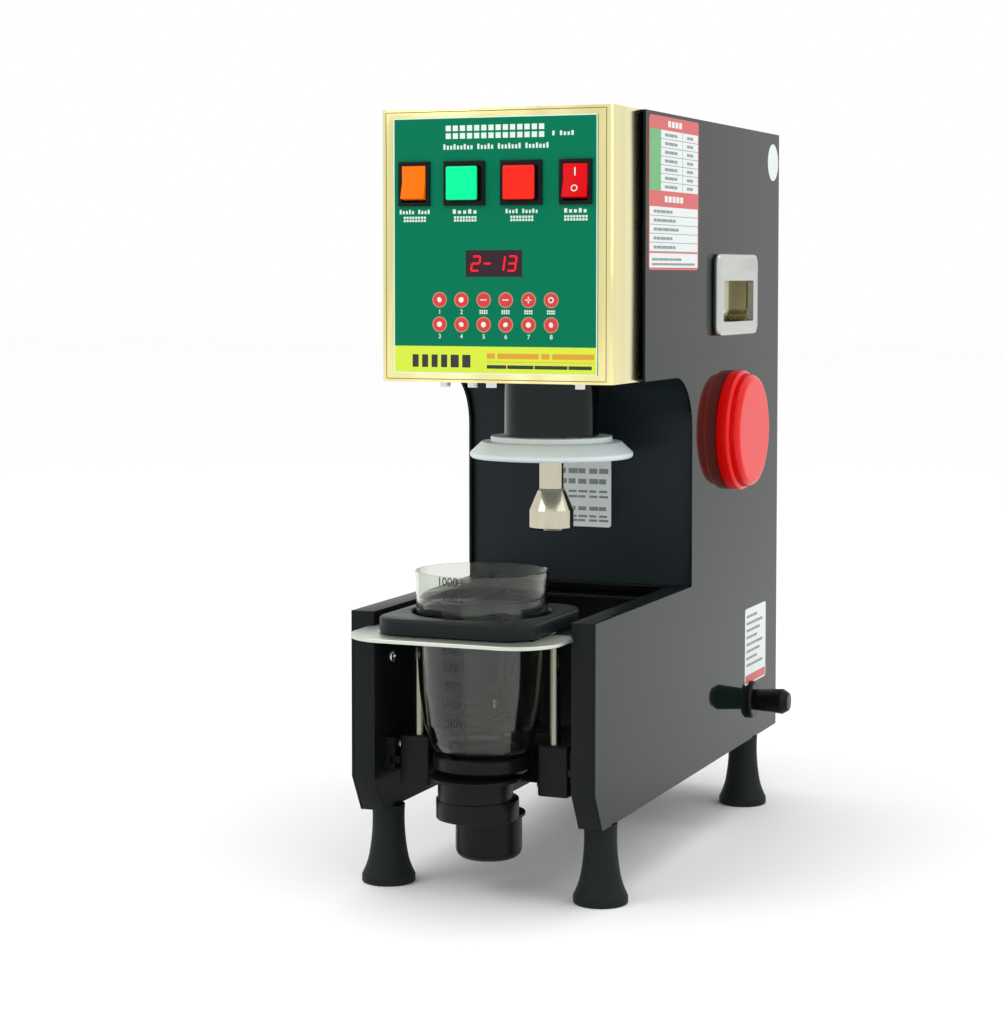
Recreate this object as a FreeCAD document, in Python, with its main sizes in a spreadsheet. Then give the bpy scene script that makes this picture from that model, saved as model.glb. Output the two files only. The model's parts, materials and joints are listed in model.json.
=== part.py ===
import FreeCAD, Part
import Sketcher
import math
import os
import re

# A counter-top machine that pounds citrus in a measuring cup.
# It is drawn about its pounding axis: X = 0 is the middle plane with +X to the machine's right as seen
# from the front, -Y is the front, and Z = 0 is the counter. The cup stands pulled out in front of the
# axis for loading, with lid and pestle raised. The last lines move the origin to the middle of the
# outline before the pieces are written.

SIZES = {
    # casing
    "body_width": 205,
    "body_front": 173,
    "body_back": 328,
    "body_bottom": 63,
    "body_top": 620,
    "base_top": 225,
    "gauge": 2,
    "toe_setback": 16.5,
    "toe_rise": 30,
    "throat_back": 65,
    "throat_top": 404,
    "throat_radius": 45,
    "wall_setback": 5,
    "head_front": 59,
    "cheek_width": 20,
    "well_back": 100,
    "vent_half": 40,
    "vent_low": 260,
    "vent_height": 4,
    "vent_pitch": 14,
    # gold head cover and what is on it
    "cover_width": 197,
    "cover_front": 125.5,
    "cover_gauge": 1.5,
    "cover_corner": 6,
    "cover_screw_row": 92,
    "cover_screw_radius": 3.5,
    "cover_screw_height": 2,
    "bolt_row": 105,
    "bolt_radius": 2.5,
    "bolt_head_radius": 4.5,
    "bolt_head_height": 3.6,
    "washer_radius": 5.5,
    "washer_thickness": 1,
    "overlay_width": 172.8,
    "overlay_low": 411,
    "overlay_high": 613,
    "overlay_thickness": 1,
    "switch_height": 561,
    "mode_place": -67.9,
    "start_place": -24.8,
    "stop_place": 23.4,
    "power_place": 68.7,
    "button_face": 26.5,
    "button_bezel": 35,
    "button_proud": 8,
    "button_depth": 15,
    "button_travel": 3,
    "rocker_width": 20,
    "rocker_height": 26,
    "rocker_bezel_width": 27,
    "rocker_tilt": -8,
    "pin_radius": 1.5,
    "bezel_thickness": 2,
    "switch_body_depth": 24,
    "display_width": 48,
    "display_height": 21,
    "display_level": 498,
    "board_setback": 20,
    "board_thickness": 1.6,
    "board_half": 80,
    "board_low": 430,
    "board_high": 536,
    "standoff_radius": 3,
    # cup, ring and deck
    "cup_reach": 150.3,
    "cup_bottom": 115.3,
    "cup_height": 143.7,
    "cup_rim_radius": 52.4,
    "cup_neck_radius": 51.6,
    "cup_neck_level": 89.7,
    "cup_waist_radius": 49.2,
    "cup_waist_level": 49.7,
    "cup_belly_radius": 45.8,
    "cup_belly_level": 24.7,
    "cup_shoulder_radius": 41.5,
    "cup_foot_radius": 29.3,
    "cup_foot_round": 12,
    "cup_wall": 2,
    "cup_collar_drop": 19,
    "ring_half": 65,
    "ring_front": 70,
    "ring_back": 62,
    "ring_corner": 25,
    "ring_thickness": 13,
    "ring_hole": 54.5,
    "deck_top": 214,
    "deck_thickness": 3,
    "deck_half": 86,
    "deck_front": 238,
    "deck_corner": 38,
    # carriage under the cup
    "frame_bottom": 84,
    "frame_top": 124,
    "frame_half": 71.5,
    "frame_front": 150,
    "frame_back": 60,
    "yoke_half": 46,
    "yoke_back": 105,
    "post_radius": 4.5,
    "post_place": 57.5,
    "post_reach": 141.3,
    "rail_setback": 20,
    "rail_bottom": 96,
    "rail_top": 122,
    "rail_face": 74.5,
    "rail_web": 3.5,
    "tongue_low": 101.3,
    "tongue_high": 106.7,
    "seat_radius": 38.5,
    "seat_bottom": 102,
    "seat_thickness": 13,
    "flange_radius": 36,
    "flange_bottom": 97.5,
    "flange_top": 100,
    "bearing_radius": 29.5,
    "bearing_bottom": 82,
    "housing_reach": 164,
    "gearbox_radius": 32.5,
    "gearbox_bottom": 66,
    "gearbox_reach": 160,
    "spindle_radius": 5,
    "spindle_bottom": 70,
    "collar_radius": 20,
    "lug_half": 22,
    "motor_cap_radius": 26.35,
    "motor_cap_lip": 29,
    "motor_cap_bottom": 30,
    "motor_cap_lip_height": 2,
    "motor_cap_round": 8,
    "motor_cap_reach": 137,
    "motor_cap_wall": 2,
    # lid, sleeve and pestle
    "sleeve_radius": 39.7,
    "sleeve_bottom": 355.5,
    "sleeve_flange": 46,
    "lid_tube_radius": 35.95,
    "lid_tube_wall": 6,
    "lid_tube_top": 440,
    "lid_bottom": 337,
    "lid_radius": 68.1,
    "lid_rim_height": 4.4,
    "lid_step_radius": 58.4,
    "lid_step_height": 13.4,
    "lid_crown_radius": 50.8,
    "lid_height": 18,
    "lid_hole": 21,
    "gasket_inner": 46,
    "gasket_outer": 58,
    "gasket_depth": 2,
    "gasket_proud": 0.3,
    "rod_radius": 10.5,
    "rod_top": 616,
    "rod_flat": 8,
    "head_radius": 18.85,
    "head_bottom": 277,
    "head_straight": 16,
    "head_cone": 16,
    "spigot_radius": 7,
    "guide_wall": 4.5,
    "guide_bottom": 345,
    # drive shelf in the head
    "shelf_bottom": 441,
    "shelf_thickness": 3,
    "shelf_half": 78,
    "shelf_front": 50,
    "shelf_back": 45,
    "pillar_radius": 5,
    "pillar_place": 60,
    "pillar_front": 38,
    "pillar_back": 16,
    "gear_pitch": 4.7124,
    "tooth_share": 0.4,
    "addendum": 1.3,
    "dedendum": 1.7,
    "pound_teeth": 14,
    "pound_gear_half": 6,
    "pound_gearbox_radius": 21,
    "pound_gearbox_length": 46,
    "pound_motor_radius": 18,
    "pound_motor_length": 34,
    "pound_shaft": 4,
    "pound_shaft_length": 20,
    "lid_teeth": 12,
    "lid_gear_half": 5,
    "lid_gearbox_radius": 14,
    "lid_gearbox_length": 30,
    "lid_motor_length": 34,
    "lid_shaft": 3,
    "lid_shaft_length": 14,
    "shaft_bore_depth": 14,
    "lid_rack_inner": 26,
    "lid_rack_width": 8,
    "lid_rack_half": 4,
    "lid_rack_top": 548,
    "bracket_thickness": 2,
    # right side: palm button, carrying recess and wing knob
    "palm_place": 184,
    "palm_level": 351.5,
    "palm_bezel_radius": 53,
    "palm_bezel_height": 11.5,
    "palm_radius": 49.5,
    "palm_height": 20,
    "palm_round": 5,
    "palm_rear_gap": 6,
    "palm_barrel_radius": 14,
    "palm_barrel_length": 26,
    "palm_stem_radius": 5,
    "handle_front": 120,
    "handle_back": 239,
    "handle_low": 436,
    "handle_high": 507.5,
    "handle_proud": 6.5,
    "pocket_front": 132,
    "pocket_back": 223,
    "pocket_low": 448,
    "pocket_high": 484,
    "pocket_depth": 26,
    "pocket_wall": 1.2,
    "knob_place": 242,
    "knob_level": 100,
    "knob_shaft_radius": 4,
    "knob_flange_radius": 17,
    "knob_flange_height": 5,
    "knob_bush_radius": 8,
    "knob_bush_length": 16,
    "knob_neck_radius": 9.5,
    "knob_grip_radius": 11.5,
    "knob_reach": 37,
    # feet and electrics
    "foot_height": 63,
    "foot_top_radius": 13.3,
    "foot_waist_radius": 15,
    "foot_bottom_radius": 21.6,
    "foot_place": 91,
    "foot_front": 129,
    "foot_back": 258,
    "supply_half": 55,
    "supply_depth": 40,
    "supply_low": 420,
    "supply_high": 540,
    "inlet_level": 122,
    "inlet_half_width": 24,
    "inlet_half_height": 14,
    "inlet_flange": 2,
    "inlet_margin": 3,
    "inlet_depth": 24,
    "socket_half_width": 19,
    "socket_half_height": 10,
    "socket_depth": 17,
    "driver_half": 70,
    "driver_front": 130,
    "driver_back": 250,
    "driver_standoff": 10,
    "screw_radius": 5,
    "rail_screw_radius": 4.5,
    "screw_head": 2,
    "running_fit": 0.05,
    "gap": 0.3,
}

V = FreeCAD.Vector
doc = FreeCAD.newDocument("PoundingMachine")
sheet = doc.addObject("Spreadsheet::Sheet", "Sizes")
for row, (name, size) in enumerate(SIZES.items(), start=1):
    sheet.set(f"A{row}", name)
    sheet.set(f"B{row}", str(size))
    sheet.setAlias(f"B{row}", name)
doc.recompute()

nodes = []


# Lengths are written as plain text such as "body_width / 2 - gauge" and bound to the sheet's cells.

def formula(text):
    return re.sub(r"\b[a-z][a-z_]+\b(?!\()", lambda word: "Sizes." + word.group(), str(text))


def number(text):
    return float(sheet.evalExpression(formula(text)))


def bind(thing, **places):
    for place, text in places.items():
        thing.setExpression(place.replace("__", "."), formula(text))


def minus(a, b):
    return f"({a}) - ({b})"


def node(piece, label):
    """Make an object one of the machine's own pieces: it gets its own file."""
    piece.Label = label
    nodes.append(piece)
    return piece


# ---- shapes ----

TURN = {
    "X": FreeCAD.Rotation(V(0, 1, 0), 90),
    "Y": FreeCAD.Rotation(V(1, 0, 0), -90),
    "Z": FreeCAD.Rotation(),
    "-X": FreeCAD.Rotation(V(0, 1, 0), -90),
}


def put(piece, at, axis="Z"):
    """Place an object at three lengths, with its own Z turned to the given axis."""
    piece.Placement = FreeCAD.Placement(V(), TURN[axis])
    bind(piece, Placement__Base__x=at[0], Placement__Base__y=at[1], Placement__Base__z=at[2])
    return piece


def block(x, y, z):
    """A box between two lengths on each axis."""
    piece = doc.addObject("Part::Box", "Block")
    bind(piece, Length=minus(x[1], x[0]), Width=minus(y[1], y[0]), Height=minus(z[1], z[0]))
    return put(piece, (x[0], y[0], z[0]))


def rod(radius, length, at, axis="Z"):
    piece = doc.addObject("Part::Cylinder", "Rod")
    bind(piece, Radius=radius, Height=length)
    return put(piece, at, axis)


def hexagon(radius, length, at):
    piece = doc.addObject("Part::Prism", "Hexagon")
    piece.Polygon = 6
    bind(piece, Circumradius=radius, Height=length)
    return put(piece, at)


def group(*pieces):
    """Several separate solids that count as one piece."""
    piece = doc.addObject("Part::Compound", "Group")
    piece.Links = list(pieces)
    return piece


def fused(*pieces):
    piece = doc.addObject("Part::MultiFuse", "Fused")
    piece.Shapes = list(pieces)
    return piece


def cut(base, *tools):
    piece = doc.addObject("Part::Cut", "Cut")
    piece.Base = base
    piece.Tool = tools[0] if len(tools) == 1 else fused(*tools)
    return piece


def mirrored(piece):
    """The same piece on the other side of the middle plane."""
    other = doc.addObject("Part::Mirroring", "Mirrored")
    other.Source = piece
    other.Normal = V(1, 0, 0)
    return other


def arc_between(p, q, radius):
    """Arc from p to q: counter-clockwise for a positive radius, clockwise for a negative one."""
    chord = q - p
    half = chord.Length / 2
    side = V(-chord.y, chord.x, 0).normalize() * math.copysign(1, radius)
    centre = (p + q) * 0.5 + side * math.sqrt(max(radius * radius - half * half, 0))
    first, last = (p, q) if radius > 0 else (q, p)
    start = math.atan2(first.y - centre.y, first.x - centre.x)
    end = math.atan2(last.y - centre.y, last.x - centre.x)
    if end < start:
        end += 2 * math.pi
    return Part.ArcOfCircle(Part.Circle(centre, V(0, 0, 1), abs(radius)), start, end)


def sketch_outline(body, plane, points):
    """A closed outline on one of the body's own planes.

    Each point is (across, up), or (across, up, radius) where an arc leads to the next point. Every
    corner and every arc is bound to the sheet.
    """
    sketch = body.newObject("Sketcher::SketchObject", "Outline")
    origin = next(f for f in body.Origin.OriginFeatures if f.Role == plane + "_Plane")
    sketch.AttachmentSupport = [(origin, "")]
    sketch.MapMode = "FlatFace"
    corners = [V(number(p[0]), number(p[1]), 0) for p in points]
    ends = []
    for i, p in enumerate(points):
        start, end = corners[i], corners[(i + 1) % len(points)]
        if len(p) == 3:
            sketch.addGeometry(arc_between(start, end, number(p[2])))
            ends.append((1, 2) if number(p[2]) > 0 else (2, 1))
        else:
            sketch.addGeometry(Part.LineSegment(start, end))
            ends.append((1, 2))
    for i in range(len(points)):
        after = (i + 1) % len(points)
        sketch.addConstraint(Sketcher.Constraint("Coincident", i, ends[i][1], after, ends[after][0]))
    for i, p in enumerate(points):
        place = ends[i][0]
        for kind, text in (("DistanceX", p[0]), ("DistanceY", p[1])):
            index = sketch.addConstraint(Sketcher.Constraint(kind, i, place, number(text)))
            sketch.setExpression(f"Constraints[{index}]", formula(text))
        if len(p) == 3:
            index = sketch.addConstraint(Sketcher.Constraint("Radius", i, abs(number(p[2]))))
            sketch.setExpression(f"Constraints[{index}]", formula(f"abs({p[2]})"))
    return sketch


def plate(plane, points, thickness, at=(0, 0, 0)):
    """A plate of one outline. YZ plates grow to both sides of their place; XY plates grow upwards."""
    body = doc.addObject("PartDesign::Body", "Plate")
    sketch = sketch_outline(body, plane, points)
    pad = body.newObject("PartDesign::Pad", "Pad")
    pad.Profile = sketch
    pad.Midplane = plane != "XY"
    bind(pad, Length=thickness)
    doc.recompute()
    return put(body, at)


def lathe(points, at=(0, 0, 0), axis="Z"):
    """A turned piece: points are (radius, height) about its own axis."""
    body = doc.addObject("PartDesign::Body", "Lathe")
    sketch = sketch_outline(body, "XZ", points)
    turned = body.newObject("PartDesign::Revolution", "Revolution")
    turned.Profile = sketch
    turned.ReferenceAxis = (sketch, ["V_Axis"])
    turned.Angle = 360
    doc.recompute()
    return put(body, at, axis)


def tube(outer, inner, low, high):
    """A ring or tube about the pounding axis."""
    return lathe([(inner, low), (outer, low), (outer, high), (inner, high)])


def rounded(half_x, y, corner, thickness, at=(0, 0, 0)):
    """A flat plate with four rounded corners."""
    low, high = y
    return plate("XY", [
        (f"-({half_x}) + {corner}", low),
        (f"{half_x} - {corner}", low, corner),
        (half_x, f"{low} + {corner}"),
        (half_x, f"{high} - {corner}", corner),
        (f"{half_x} - {corner}", high),
        (f"-({half_x}) + {corner}", high, corner),
        (f"-({half_x})", f"{high} - {corner}"),
        (f"-({half_x})", f"{low} + {corner}", corner),
    ], thickness, at)


# ---- casing ----

PANEL_FACE = "body_width / 2"
INSIDE = "body_width / 2 - gauge"
CHEEK_FACE = "body_width / 2 - cheek_width"
ALL_WIDTH = (f"-({INSIDE})", INSIDE)
REAR_INSIDE = "body_back - gauge"


def side_outline():
    """The C-shaped side of the machine, front to the left."""
    return [
        ("toe_setback - body_front", "body_bottom"),
        ("body_back", "body_bottom"),
        ("body_back", "body_top"),
        ("-head_front", "body_top"),
        ("-head_front", "throat_top"),
        ("throat_back - throat_radius", "throat_top", "-throat_radius"),
        ("throat_back", "throat_top - throat_radius"),
        ("throat_back", "base_top"),
        ("-body_front", "base_top"),
        ("-body_front", "body_bottom + toe_rise"),
    ]


def handle_window(side):
    """The opening in a side panel that the pocket of the carrying recess fills."""
    x = (f"{INSIDE} - 1", f"{PANEL_FACE} + 1") if side > 0 else (f"-({PANEL_FACE}) - 1", f"1 - ({INSIDE})")
    return block(x, ("pocket_front - pocket_wall", "pocket_back + pocket_wall"),
                 ("pocket_low - pocket_wall", "pocket_high + pocket_wall"))


def casing():
    right = plate("YZ", side_outline(), "gauge", (f"{INSIDE} + gauge / 2", 0, 0))
    barrel_hole = rod("palm_barrel_radius", "gauge + 2", (f"{INSIDE} - 1", "palm_place", "palm_level"), "X")
    knob_hole = rod("knob_bush_radius", "gauge + 2", (f"{INSIDE} - 1", "knob_place", "knob_level"), "X")
    node(cut(right, handle_window(1), barrel_hole, knob_hole), "side_panel_right")
    left = plate("YZ", side_outline(), "gauge", (f"-({INSIDE}) - gauge / 2", 0, 0))
    node(cut(left, handle_window(-1)), "side_panel_left")

    rear = block(ALL_WIDTH, (REAR_INSIDE, "body_back"), ("body_bottom", "body_top"))
    inlet_hole = block(("-inlet_half_width", "inlet_half_width"), (f"{REAR_INSIDE} - 1", "body_back + 1"),
                       ("inlet_level - inlet_half_height", "inlet_level + inlet_half_height"))
    vents = [block(("-vent_half", "vent_half"), (f"{REAR_INSIDE} - 1", "body_back + 1"),
                   (f"vent_low + {i} * vent_pitch", f"vent_low + {i} * vent_pitch + vent_height"))
             for i in range(6)]
    node(cut(rear, inlet_hole, *vents), "rear_cover")
    node(block(ALL_WIDTH, ("-head_front", REAR_INSIDE), ("body_top - gauge", "body_top")), "top_cover")
    node(block(ALL_WIDTH, ("well_back", REAR_INSIDE), ("body_bottom", "body_bottom + gauge")), "base_floor")

    wall = "throat_back + wall_setback"
    liner = plate("YZ", [
        (wall, "base_top"),
        (wall, "throat_top - throat_radius", "throat_radius"),
        (f"{wall} - throat_radius", "throat_top"),
        ("-head_front", "throat_top"),
        ("-head_front", "throat_top + gauge"),
        (f"{wall} - throat_radius", "throat_top + gauge", "-(throat_radius + gauge)"),
        (f"{wall} + gauge", "throat_top - throat_radius"),
        (f"{wall} + gauge", "base_top"),
    ], f"2 * ({INSIDE})")
    sleeve_hole = rod("sleeve_radius", "throat_radius", (0, 0, "throat_top + gauge + 1 - throat_radius"))
    node(cut(liner, sleeve_hole), "throat_liner")

    node(plate("YZ", [
        ("well_back - gauge", "body_bottom"),
        ("well_back", "body_bottom"),
        ("well_back", "base_top"),
        ("throat_back", "base_top"),
        ("throat_back", "base_top - gauge"),
        ("well_back - gauge", "base_top - gauge"),
    ], f"2 * ({CHEEK_FACE})"), "well_liner")


def base_cheeks():
    """Folded boxes that close each arm of the base, open towards the side panels."""
    body = doc.addObject("PartDesign::Body", "Cheek")
    sketch = sketch_outline(body, "YZ", [
        ("toe_setback - body_front", "body_bottom"),
        ("well_back", "body_bottom"),
        ("well_back", "base_top"),
        ("-body_front", "base_top"),
        ("-body_front", "body_bottom + toe_rise"),
    ])
    pad = body.newObject("PartDesign::Pad", "Pad")
    pad.Profile = sketch
    bind(pad, Length="cheek_width - gauge")
    doc.recompute()
    width = number("cheek_width - gauge")
    open_face = next(f"Face{i}" for i, face in enumerate(pad.Shape.Faces, start=1)
                     if abs(face.CenterOfMass.x - width) < 1e-6)
    shell = body.newObject("PartDesign::Thickness", "Shell")
    shell.Base = (pad, [open_face])
    shell.Reversed = True
    bind(shell, Value="gauge")
    doc.recompute()
    right = put(body, (CHEEK_FACE, 0, 0))
    node(right, "base_cheek_right")
    node(mirrored(right), "base_cheek_left")


def feet():
    """Flared rubber feet."""
    places = [(f"{side} * foot_place", y) for side in (-1, 1) for y in ("-foot_front", "foot_back")]
    legs = [lathe([
        (0, 0),
        ("foot_bottom_radius - 1", 0),
        ("foot_bottom_radius", 1),
        ("foot_bottom_radius", 6, -60),
        ("foot_waist_radius", "foot_height * 0.42", -160),
        ("foot_top_radius", "foot_height"),
        (0, "foot_height"),
    ], (x, y, 0)) for x, y in places]
    node(group(*legs), "feet")


# ---- deck, rails and screws of the well ----

SLOT_HALF = "post_place + post_radius + 1"


def deck():
    """The bright deck: a tongue between the cheeks that flares in front of them to a rounded lip."""
    tongue = CHEEK_FACE
    outline = [
        (tongue, "well_back - gauge"),
        (f"-({tongue})", "well_back - gauge"),
        (f"-({tongue})", "-body_front"),
        ("-deck_half", f"-body_front - (deck_half - ({tongue}))"),
        ("-deck_half", "deck_corner - deck_front", "deck_corner"),
        ("deck_corner - deck_half", "-deck_front"),
        ("deck_half - deck_corner", "-deck_front", "deck_corner"),
        ("deck_half", "deck_corner - deck_front"),
        ("deck_half", f"-body_front - (deck_half - ({tongue}))"),
        (tongue, "-body_front"),
    ]
    sheet_metal = plate("XY", outline, "deck_thickness", (0, 0, "deck_top - deck_thickness"))
    slot = block((f"-({SLOT_HALF})", SLOT_HALF), ("-cup_reach - ring_hole - 1", "throat_back - gauge"),
                 ("deck_top - deck_thickness - 1", "deck_top + 1"))
    node(cut(sheet_metal, slot), "deck_plate")


def rails():
    """Grooved rails on the cheeks that carry the carriage's tongues."""
    bar = block(("rail_face", CHEEK_FACE), ("rail_setback - body_front", "well_back - gauge - 1"),
                ("rail_bottom", "rail_top"))
    groove = block(("rail_face - 1", f"{CHEEK_FACE} - rail_web"), ("-body_front", "well_back"),
                   ("tongue_low - gap", "tongue_high + gap"))
    right = cut(bar, groove)
    node(group(right, mirrored(right)), "slide_rails")


def wall_screws():
    """Pan heads on the cheeks' inner walls, above the rails and on the rails."""
    heads = []
    for y in ("-body_front + 33", "well_back - 42"):
        heads.append(rod("screw_radius", "screw_head", (f"{CHEEK_FACE} - screw_head", y, "base_top - 40"), "X"))
        heads.append(rod("rail_screw_radius", "screw_head", ("rail_face - screw_head", y, "rail_top - 7"), "X"))
    node(group(*heads, *[mirrored(head) for head in heads]), "wall_screws")


# ---- head cover and controls ----

COVER_FACE = "-cover_front"
OVERLAY_FACE = "-cover_front - overlay_thickness"
BEZEL_FACE = "-cover_front - overlay_thickness - bezel_thickness"
SWITCHES = {
    "mode": ("mode_place", "rocker"),
    "start": ("start_place", "button"),
    "stop": ("stop_place", "button"),
    "power": ("power_place", "rocker"),
}


def switch_half(kind):
    """Half width and half height of a switch's body behind its bezel."""
    if kind == "button":
        return "button_bezel / 2 - 2.5", "button_bezel / 2 - 2.5"
    return "rocker_bezel_width / 2 - 2", "button_bezel / 2 - 2"


def front_holes(low, high):
    """Tools that cut the switch and display openings out of a front panel."""
    tools = []
    for place, kind in SWITCHES.values():
        across, up = switch_half(kind)
        tools.append(block((f"{place} - ({across})", f"{place} + {across}"), (low, high),
                           (f"switch_height - ({up})", f"switch_height + {up}")))
    tools.append(block(("-display_width / 2", "display_width / 2"), (low, high),
                       ("display_level - display_height / 2", "display_level + display_height / 2")))
    return tools


def cover_outline(inset):
    half = f"cover_width / 2 - {inset}"
    front = f"-cover_front + {inset}"
    return [
        (f"-({half})", "-head_front"),
        (f"-({half})", f"{front} + cover_corner", "cover_corner"),
        (f"cover_corner - ({half})", front),
        (f"{half} - cover_corner", front, "cover_corner"),
        (half, f"{front} + cover_corner"),
        (half, "-head_front"),
    ]


COVER_SCREWS = (-88, 0, 88)
HEAD_BOLTS = (-51, -27, -11, 64)


def head_cover():
    height = "body_top - throat_top"
    shell = plate("XY", cover_outline("0"), height, (0, 0, "throat_top"))
    hollow = plate("XY", cover_outline("cover_gauge"), f"{height} - 2 * cover_gauge",
                   (0, 0, "throat_top + cover_gauge"))
    bolt_holes = [rod("bolt_radius", "cover_gauge + 2", (x, "-bolt_row", "throat_top - 1")) for x in HEAD_BOLTS]
    node(cut(shell, hollow, *bolt_holes, *front_holes("-cover_front - 1", "-cover_front + cover_gauge + 1")),
         "head_cover")

    node(group(*[rod("cover_screw_radius", "cover_screw_height", (x, "-cover_screw_row", "body_top"))
                 for x in COVER_SCREWS]), "cover_screws")
    bolts = [fused(hexagon("bolt_head_radius", "bolt_head_height",
                           (x, "-bolt_row", "throat_top - washer_thickness - bolt_head_height")),
                   rod("washer_radius", "washer_thickness", (x, "-bolt_row", "throat_top - washer_thickness")),
                   rod("bolt_radius", "washer_thickness + cover_gauge + 4",
                       (x, "-bolt_row", "throat_top - washer_thickness"))) for x in HEAD_BOLTS]
    node(group(*bolts), "head_bolts")


def control_panel():
    sheet_front = block(("-overlay_width / 2", "overlay_width / 2"), (OVERLAY_FACE, COVER_FACE),
                        ("overlay_low", "overlay_high"))
    node(cut(sheet_front, *front_holes(f"{OVERLAY_FACE} - 1", f"{COVER_FACE} + 1")), "control_overlay")

    board_front = "board_setback - cover_front"
    node(block(("-display_width / 2", "display_width / 2"), (OVERLAY_FACE, board_front),
               ("display_level - display_height / 2", "display_level + display_height / 2")), "display_module")
    node(block(("-board_half", "board_half"), (board_front, f"{board_front} + board_thickness"),
               ("board_low", "board_high")), "control_board")
    housings = []
    for place, kind in SWITCHES.values():
        across, up = switch_half(kind)
        bezel = "button_bezel / 2" if kind == "button" else "rocker_bezel_width / 2"
        frame = block((f"{place} - {bezel}", f"{place} + {bezel}"), (BEZEL_FACE, OVERLAY_FACE),
                      ("switch_height - button_bezel / 2", "switch_height + button_bezel / 2"))
        body = block((f"{place} - ({across})", f"{place} + {across}"),
                     (OVERLAY_FACE, f"{OVERLAY_FACE} + switch_body_depth"),
                     (f"switch_height - ({up})", f"switch_height + {up}"))
        if kind == "button":
            hole_x, hole_z, floor = "button_face / 2 + gap", "button_face / 2 + gap", "button_depth"
        else:
            hole_x, hole_z, floor = "rocker_width / 2 + gap", "rocker_height / 2 + 1.6", "button_depth + 1"
        well = block((f"{place} - ({hole_x})", f"{place} + {hole_x}"), (f"{BEZEL_FACE} - 1", f"{BEZEL_FACE} + {floor}"),
                     (f"switch_height - ({hole_z})", f"switch_height + {hole_z}"))
        tools = [well]
        if kind == "rocker":
            tools.append(rod("pin_radius + running_fit", f"2 * ({across}) + 2",
                             (f"{place} - ({across}) - 1", ROCKER_PIVOT, "switch_height"), "X"))
        housings.append(cut(fused(frame, body), *tools))
    node(group(*housings), "switch_housings")

    for name in ("start", "stop"):
        place = SWITCHES[name][0]
        node(block((f"{place} - button_face / 2", f"{place} + button_face / 2"),
                   (f"{BEZEL_FACE} - button_proud + bezel_thickness",
                    f"{BEZEL_FACE} + button_depth - button_travel - gap"),
                   ("switch_height - button_face / 2", "switch_height + button_face / 2")), name + "_button")

    for name in ("mode", "power"):
        place = SWITCHES[name][0]
        key = plate("YZ", [
            (-9, "rocker_height / 2"),
            (-7, 0),
            (-9, "-rocker_height / 2"),
            (-1, "-rocker_height / 2"),
            (7, -3),
            (7, 3),
            (-1, "rocker_height / 2"),
        ], "rocker_width", (place, ROCKER_PIVOT, "switch_height"))
        key.Placement = FreeCAD.Placement(V(), FreeCAD.Rotation(V(1, 0, 0), number("rocker_tilt")))
        bind(key, Placement__Rotation__Angle="rocker_tilt")
        across = switch_half("rocker")[0]
        pin = rod("pin_radius", f"2 * ({across}) - 0.4", (f"{place} - ({across}) + 0.2", ROCKER_PIVOT, "switch_height"),
                  "X")
        node(fused(key, pin), name + "_rocker")


ROCKER_PIVOT = f"{BEZEL_FACE} + 6.5"


# ---- cup and carriage ----

CUP_AXIS = (0, "-cup_reach", 0)


def cup():
    """A clear measuring cup with a rolled shoulder at the foot and a collar below the rim."""
    low = "cup_bottom"
    top = "cup_bottom + cup_height"
    collar = f"{top} - cup_collar_drop"
    node(lathe([
        (0, low),
        ("cup_foot_radius", low, "cup_foot_round + 0.2"),
        ("cup_shoulder_radius", f"{low} + cup_foot_round"),
        ("cup_belly_radius", f"{low} + cup_belly_level"),
        ("cup_waist_radius", f"{low} + cup_waist_level"),
        ("cup_neck_radius", f"{low} + cup_neck_level"),
        ("cup_neck_radius", f"{collar} - 1.5"),
        ("cup_rim_radius - 0.7", collar),
        ("cup_rim_radius", top),
        ("cup_rim_radius - cup_wall", top),
        ("cup_rim_radius - cup_wall - 0.7", f"{collar} + 0.5"),
        ("cup_neck_radius - cup_wall", f"{collar} - 1"),
        ("cup_neck_radius - cup_wall", f"{low} + cup_neck_level"),
        ("cup_waist_radius - cup_wall", f"{low} + cup_waist_level"),
        ("cup_belly_radius - cup_wall", f"{low} + cup_belly_level"),
        ("cup_shoulder_radius - cup_wall", f"{low} + cup_foot_round", "-(cup_foot_round - cup_wall + 0.3)"),
        ("cup_foot_radius", f"{low} + cup_wall"),
        (0, f"{low} + cup_wall"),
    ], CUP_AXIS), "cup")


def cup_ring():
    ring = rounded("ring_half", ("-ring_front", "ring_back"), "ring_corner", "ring_thickness",
                   (0, "-cup_reach", "deck_top + gap"))
    hole = rod("ring_hole", "ring_thickness + 2", (0, "-cup_reach", "deck_top + gap - 1"))
    node(cut(ring, hole), "cup_ring")
    posts = [rod("post_radius", "deck_top + gap - frame_top", (f"{side} * post_place", "-post_reach", "frame_top"))
             for side in (-1, 1)]
    node(group(*posts), "ring_posts")


def carriage():
    """The yoke behind and beside the cup's seat, with tongues that run in the rails."""
    yoke = block(("-frame_half", "frame_half"), ("-frame_front", "-frame_back"), ("frame_bottom", "frame_top"))
    mouth = block(("-yoke_half", "yoke_half"), ("-frame_front - 1", "-yoke_back"),
                  ("frame_bottom - 1", "frame_top + 1"))
    node(cut(yoke, mouth), "carriage_frame")
    tongue = block(("frame_half", f"{CHEEK_FACE} - rail_web - gap"), ("-frame_front", "-frame_back + 4"),
                   ("tongue_low", "tongue_high"))
    node(group(tongue, mirrored(tongue)), "carriage_tongues")


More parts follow.
